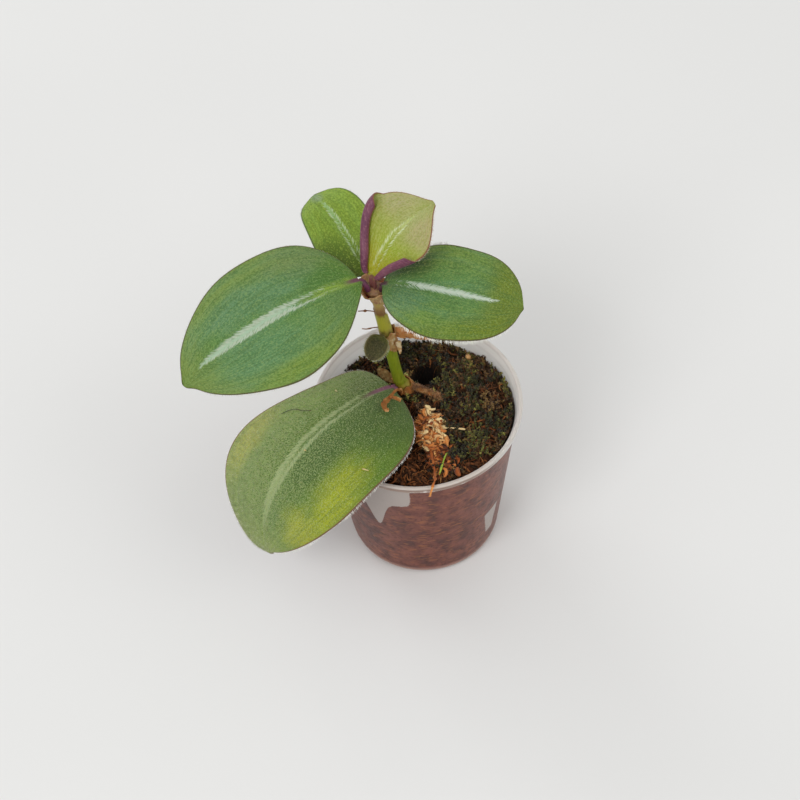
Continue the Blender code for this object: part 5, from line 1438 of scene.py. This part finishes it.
def pot_finish():
    """Frosted polypropylene, injection moulded: milky and satin. Brown earth shows through where it
    touches the wall, in blotches and orange streaks, and grey where it stands off."""
    made, tree, shader = new_finish("frosted_milky_polypropylene", {
        "IOR": 1.49, "Subsurface Radius": (1.0, 1.0, 1.0), "Subsurface Scale": 0.003,
        "Specular IOR Level": 0.3})
    where = add(tree, "TexCoord").outputs["Object"]
    patch, above = (add(tree, "Attribute", attribute_name=mark).outputs["Fac"] for mark in ("patch", "above"))
    _, y, height = add(tree, "SeparateXYZ", {0: where}).outputs
    # Earth blotches 5 mm wide, contact flecks 1.5 mm, coir streaks 5 mm long and 0.8 mm high
    blotch, fleck, grainy = (
        add(tree, "TexNoise", {"Vector": where, "Scale": scale, "Detail": detail})
        for scale, detail in ((210.0, 5.0), (900.0, 3.0), (3000.0, 1.0)))
    laid = add(tree, "VectorMath", {0: where, 1: (330.0, 330.0, 1300.0)}, operation="MULTIPLY")
    streak = add(tree, "TexNoise", {"Vector": laid, "Scale": 1.0, "Detail": 3.0, "Distortion": 0.5})
    torn, wavy = (
        add(tree, "Math", {0: fleck, 1: waver, 2: mark}, operation="MULTIPLY_ADD")
        for waver, mark in ((1.2, patch), (2.2, above)))
    mask = soft_masks(tree, (
        ("blotch", blotch, 0.4, 0.66, 0.75), ("dark", blotch, 0.5, 0.32, 0.6),
        ("fleck", fleck, 0.56, 0.66, 0.6), ("streak", streak, 0.54, 0.66, 0.75),
        ("patch", torn, 0.5, 0.9, 0.95), ("above", wavy, 0.9, 2.0, 1.0), ("haze", blotch, 0.3, 0.7, 0.1),
        ("foot", height, 0.0042, 0.0018, 0.7),
        # The grey band just below the rim is painted shade under the rim's overhang.
        ("line", height, 0.0566, 0.0574, 0.3), ("rim", height, 0.0575, 0.0579, 1.0),
        ("clear", wavy, 0.9, 2.2, 0.4), ("milky", wavy, 0.9, 2.2, 1.0), ("front", y, -0.018, -0.030, 0.85),
        ("lip", height, 0.0592, 0.0597, 0.7)))
    # Over the front rim and the bare wall in front, a painted shade of mauve brown stands for the dark
    # filling seen through them from the front, and they are made less clear there.
    both_masks(tree, mask, (("front_see_through_shade", "front", "above"),))
    wire(tree, shader, {
        "Base Color": painted(tree, "#5f2c21", [(mask[part], colour) for part, colour in (
            ("blotch", "#7a4132"), ("dark", "#3d1c17"), ("fleck", "#3a1c16"), ("streak", "#8f5430"),
            ("haze", "#8c5c4e"), ("patch", "#aaa09a"), ("foot", "#b08c80"), ("above", "#f6f3ee"),
            ("line", "#c9c1ba"), ("rim", "#f2eee9"), ("front_see_through_shade", "#81614f"), ("lip", "#d8d0c9"))]),
        "Transmission Weight": add(
            tree, "Math", {0: mask["front_see_through_shade"], 1: -0.3, 2: mask["clear"]}, operation="MULTIPLY_ADD"),
        "Subsurface Weight": mask["milky"],
        "Roughness": add(tree, "MapRange", {
            "Value": fleck, "From Min": 0.3, "From Max": 0.7, "To Min": 0.3, "To Max": 0.42}),
        "Normal": add(tree, "Bump", {"Strength": 0.12, "Distance": 0.0001, "Height": grainy})})
    return made


def rounded_profile(corners, rounding):
    """A profile of (radius, height) corners, each replaced by a quarter-turn curve of its rounding."""
    points = [corners[0]]
    corners = np.array(corners, float)
    for i in range(1, len(corners) - 1):
        before, here, after = corners[i - 1], corners[i], corners[i + 1]
        back, ahead = before - here, after - here
        room = min(rounding[i], 0.45 * np.linalg.norm(back), 0.45 * np.linalg.norm(ahead))
        start, end = here + unit(back) * room, here + unit(ahead) * room
        u = np.linspace(0, 1, 7)[:, None]
        points += list((1 - u) ** 2 * start + 2 * (1 - u) * u * here + u ** 2 * end)
    points.append(corners[-1])
    return np.array(points, float)


def cut_through(shell, cutter_shape):
    """Cuts a shape out of a piece for good, with an exact boolean."""
    points, quads = cutter_shape
    mesh = bpy.data.meshes.new("drain_cutter")
    mesh.from_pydata((points * MM).tolist(), [], quads.tolist())
    cutter = bpy.data.objects.new("drain_cutter", mesh)
    bpy.context.scene.collection.objects.link(cutter)
    step = shell.modifiers.new("Drain holes", "BOOLEAN")
    step.operation = "DIFFERENCE"
    step.solver = "EXACT"
    step.object = cutter
    bpy.context.view_layer.update()
    cut = bpy.data.meshes.new_from_object(shell.evaluated_get(bpy.context.evaluated_depsgraph_get()))
    shell.modifiers.clear()
    shell.data = cut
    bpy.data.objects.remove(cutter, do_unlink=True)


def pot():
    """The pot: a rounded profile turned about the axis, then its drain holes are cut through the base."""
    band = POT_HEIGHT - RIM_DEPTH
    corners = [
        (0.25, 0.0), (BASE_RADIUS, 0.0), (BASE_RADIUS + 1.9, 1.2), (WALL_FOOT_RADIUS, FOOT_HEIGHT),
        (WALL_TOP_RADIUS, band), (RIM_RADIUS - 0.05, band + 0.3), (RIM_RADIUS, POT_HEIGHT),
        (RIM_RADIUS - 1.2, POT_HEIGHT), (WALL_TOP_RADIUS - WALL, band - 0.4),
        (WALL_FOOT_RADIUS - WALL, FOOT_HEIGHT + 0.6), (BASE_RADIUS, FLOOR + 0.3), (BASE_RADIUS - 1.5, FLOOR),
        (0.25, FLOOR)]
    profile = rounded_profile(corners, [0, 1.0, 0.8, 0.8, 0.35, 0.3, 0.5, 0.4, 0.8, 1.0, 0.6, 0.5, 0])
    dense = [profile[:1]]
    for a, b in zip(profile[:-1], profile[1:]):
        count = max(1, int(np.linalg.norm(b - a) / 0.9))
        dense.append(a + (b - a) * np.linspace(0, 1, count + 1)[1:, None])
    profile = np.concatenate(dense)
    sides = 256
    rings = turned(profile[:, :1], turns(sides), profile[:, 1:])
    shell = piece("frosted_pot", rings.reshape(-1, 3), looped_faces(len(profile), sides), pot_finish(), "pot")
    places = turned(DRAIN_RING, (np.arange(DRAIN_HOLES) + 0.5) * 2 * math.pi / DRAIN_HOLES, 0.0)
    drills = places[:, None] + np.array([(0, 0, -1.0), (0, 0, 0.5), (0, 0, FLOOR + 1.0)])
    cut_through(shell, rods(drills, DRAIN_RADIUS, 32))
    points = np.empty(len(shell.data.vertices) * 3, np.float32)
    shell.data.vertices.foreach_get("co", points)
    mark_points(shell.data, pot_marks(points.reshape(-1, 3) / MM))


# Studio

def facing(place, back, rise=(0.0, 0.0, 1.0)):
    """A matrix at a place whose local +Z points back and whose local +Y is as near the rise as it can be."""
    right = unit(np.cross(rise, back))
    columns = np.eye(4)
    columns[:3] = np.stack([right, np.cross(back, right), back, place], axis=-1)
    return Matrix(columns.tolist())


def placed(name, data, where):
    """An object of that data, at its place in the scene."""
    made = bpy.data.objects.new(name, data)
    made.matrix_world = where
    bpy.context.scene.collection.objects.link(made)
    return made


def studio():
    """A plain pale floor, soft light from the front, the upper left and the back, and the photo's camera."""
    made, tree, shader = new_finish("plain_pale_floor", {"Roughness": 0.9, "Specular IOR Level": 0.1})
    where = add(tree, "TexCoord").outputs["Object"]
    mottle = add(tree, "TexNoise", {"Vector": where, "Scale": 8.0, "Detail": 1.0})
    mask = soft_masks(tree, (("pale", mottle, 0.3, 0.7, 1.0),))
    wire(tree, shader, {"Base Color": painted(tree, "#dedede", [(mask["pale"], "#e0e0e0")])})
    mesh = bpy.data.meshes.new("floor")
    mesh.from_pydata([(-6, -6, 0), (6, -6, 0), (6, 6, 0), (-6, 6, 0)], [], [(0, 1, 2, 3)])
    mesh.materials.append(made)
    floor = placed("floor", mesh, Matrix.Translation((0, 0, -0.0003)))

    world = bpy.data.worlds.new("soft_studio")
    world.use_nodes = True
    wire(world.node_tree, world.node_tree.nodes["Background"], {"Color": linear("#fbfbf8"), "Strength": 0.72})
    bpy.context.scene.world = world
    for name, place, size, power in (
            ("key", (-0.85, -1.1, 1.6), 0.85, 13.5), ("fill", (0.9, -0.5, 1.0), 0.9, 3.6),
            ("back", (-0.8, 1.0, 0.7), 0.8, 4.0)):
        light = bpy.data.lights.new(name, "AREA")
        light.size = size
        light.energy = power
        placed(name, light, facing(place, unit(np.array(place) - [0, 0, 0.06])))

    elevation, roll = math.radians(ELEVATION), math.radians(ROLL)
    back = np.array([0.0, -math.cos(elevation), math.sin(elevation)])
    rise = np.array([0.0, math.sin(elevation), math.cos(elevation)])
    right = np.array([1.0, 0.0, 0.0])
    tilted_right = math.cos(roll) * right + math.sin(roll) * rise
    tilted_rise = math.cos(roll) * rise - math.sin(roll) * right
    offset = (FRAME_PIXELS / 2 - np.array(PHOTO_MIDDLE)) / FOCAL_PIXELS
    aim = unit(-back + tilted_right * offset[0] - tilted_rise * offset[1])
    data = bpy.data.cameras.new("photo_view")
    data.lens = 36.0 * FOCAL_PIXELS / FRAME_PIXELS
    data.sensor_width = 36.0
    place = np.array([0, 0, AIM_HEIGHT]) + DISTANCE * back
    camera = placed("photo_view", data, facing(place, -aim, tilted_rise))
    bpy.context.scene.camera = camera
    bpy.context.scene.view_settings.view_transform = "Standard"


leaves()
stem()
crown_collar()
stem_scraps()
node_sheath()
base_sheath()
filling()
coir_fibres()
moss_shoots()
crumbs()
dry_moss()
green_sprig()
grains()
pot()
studio()
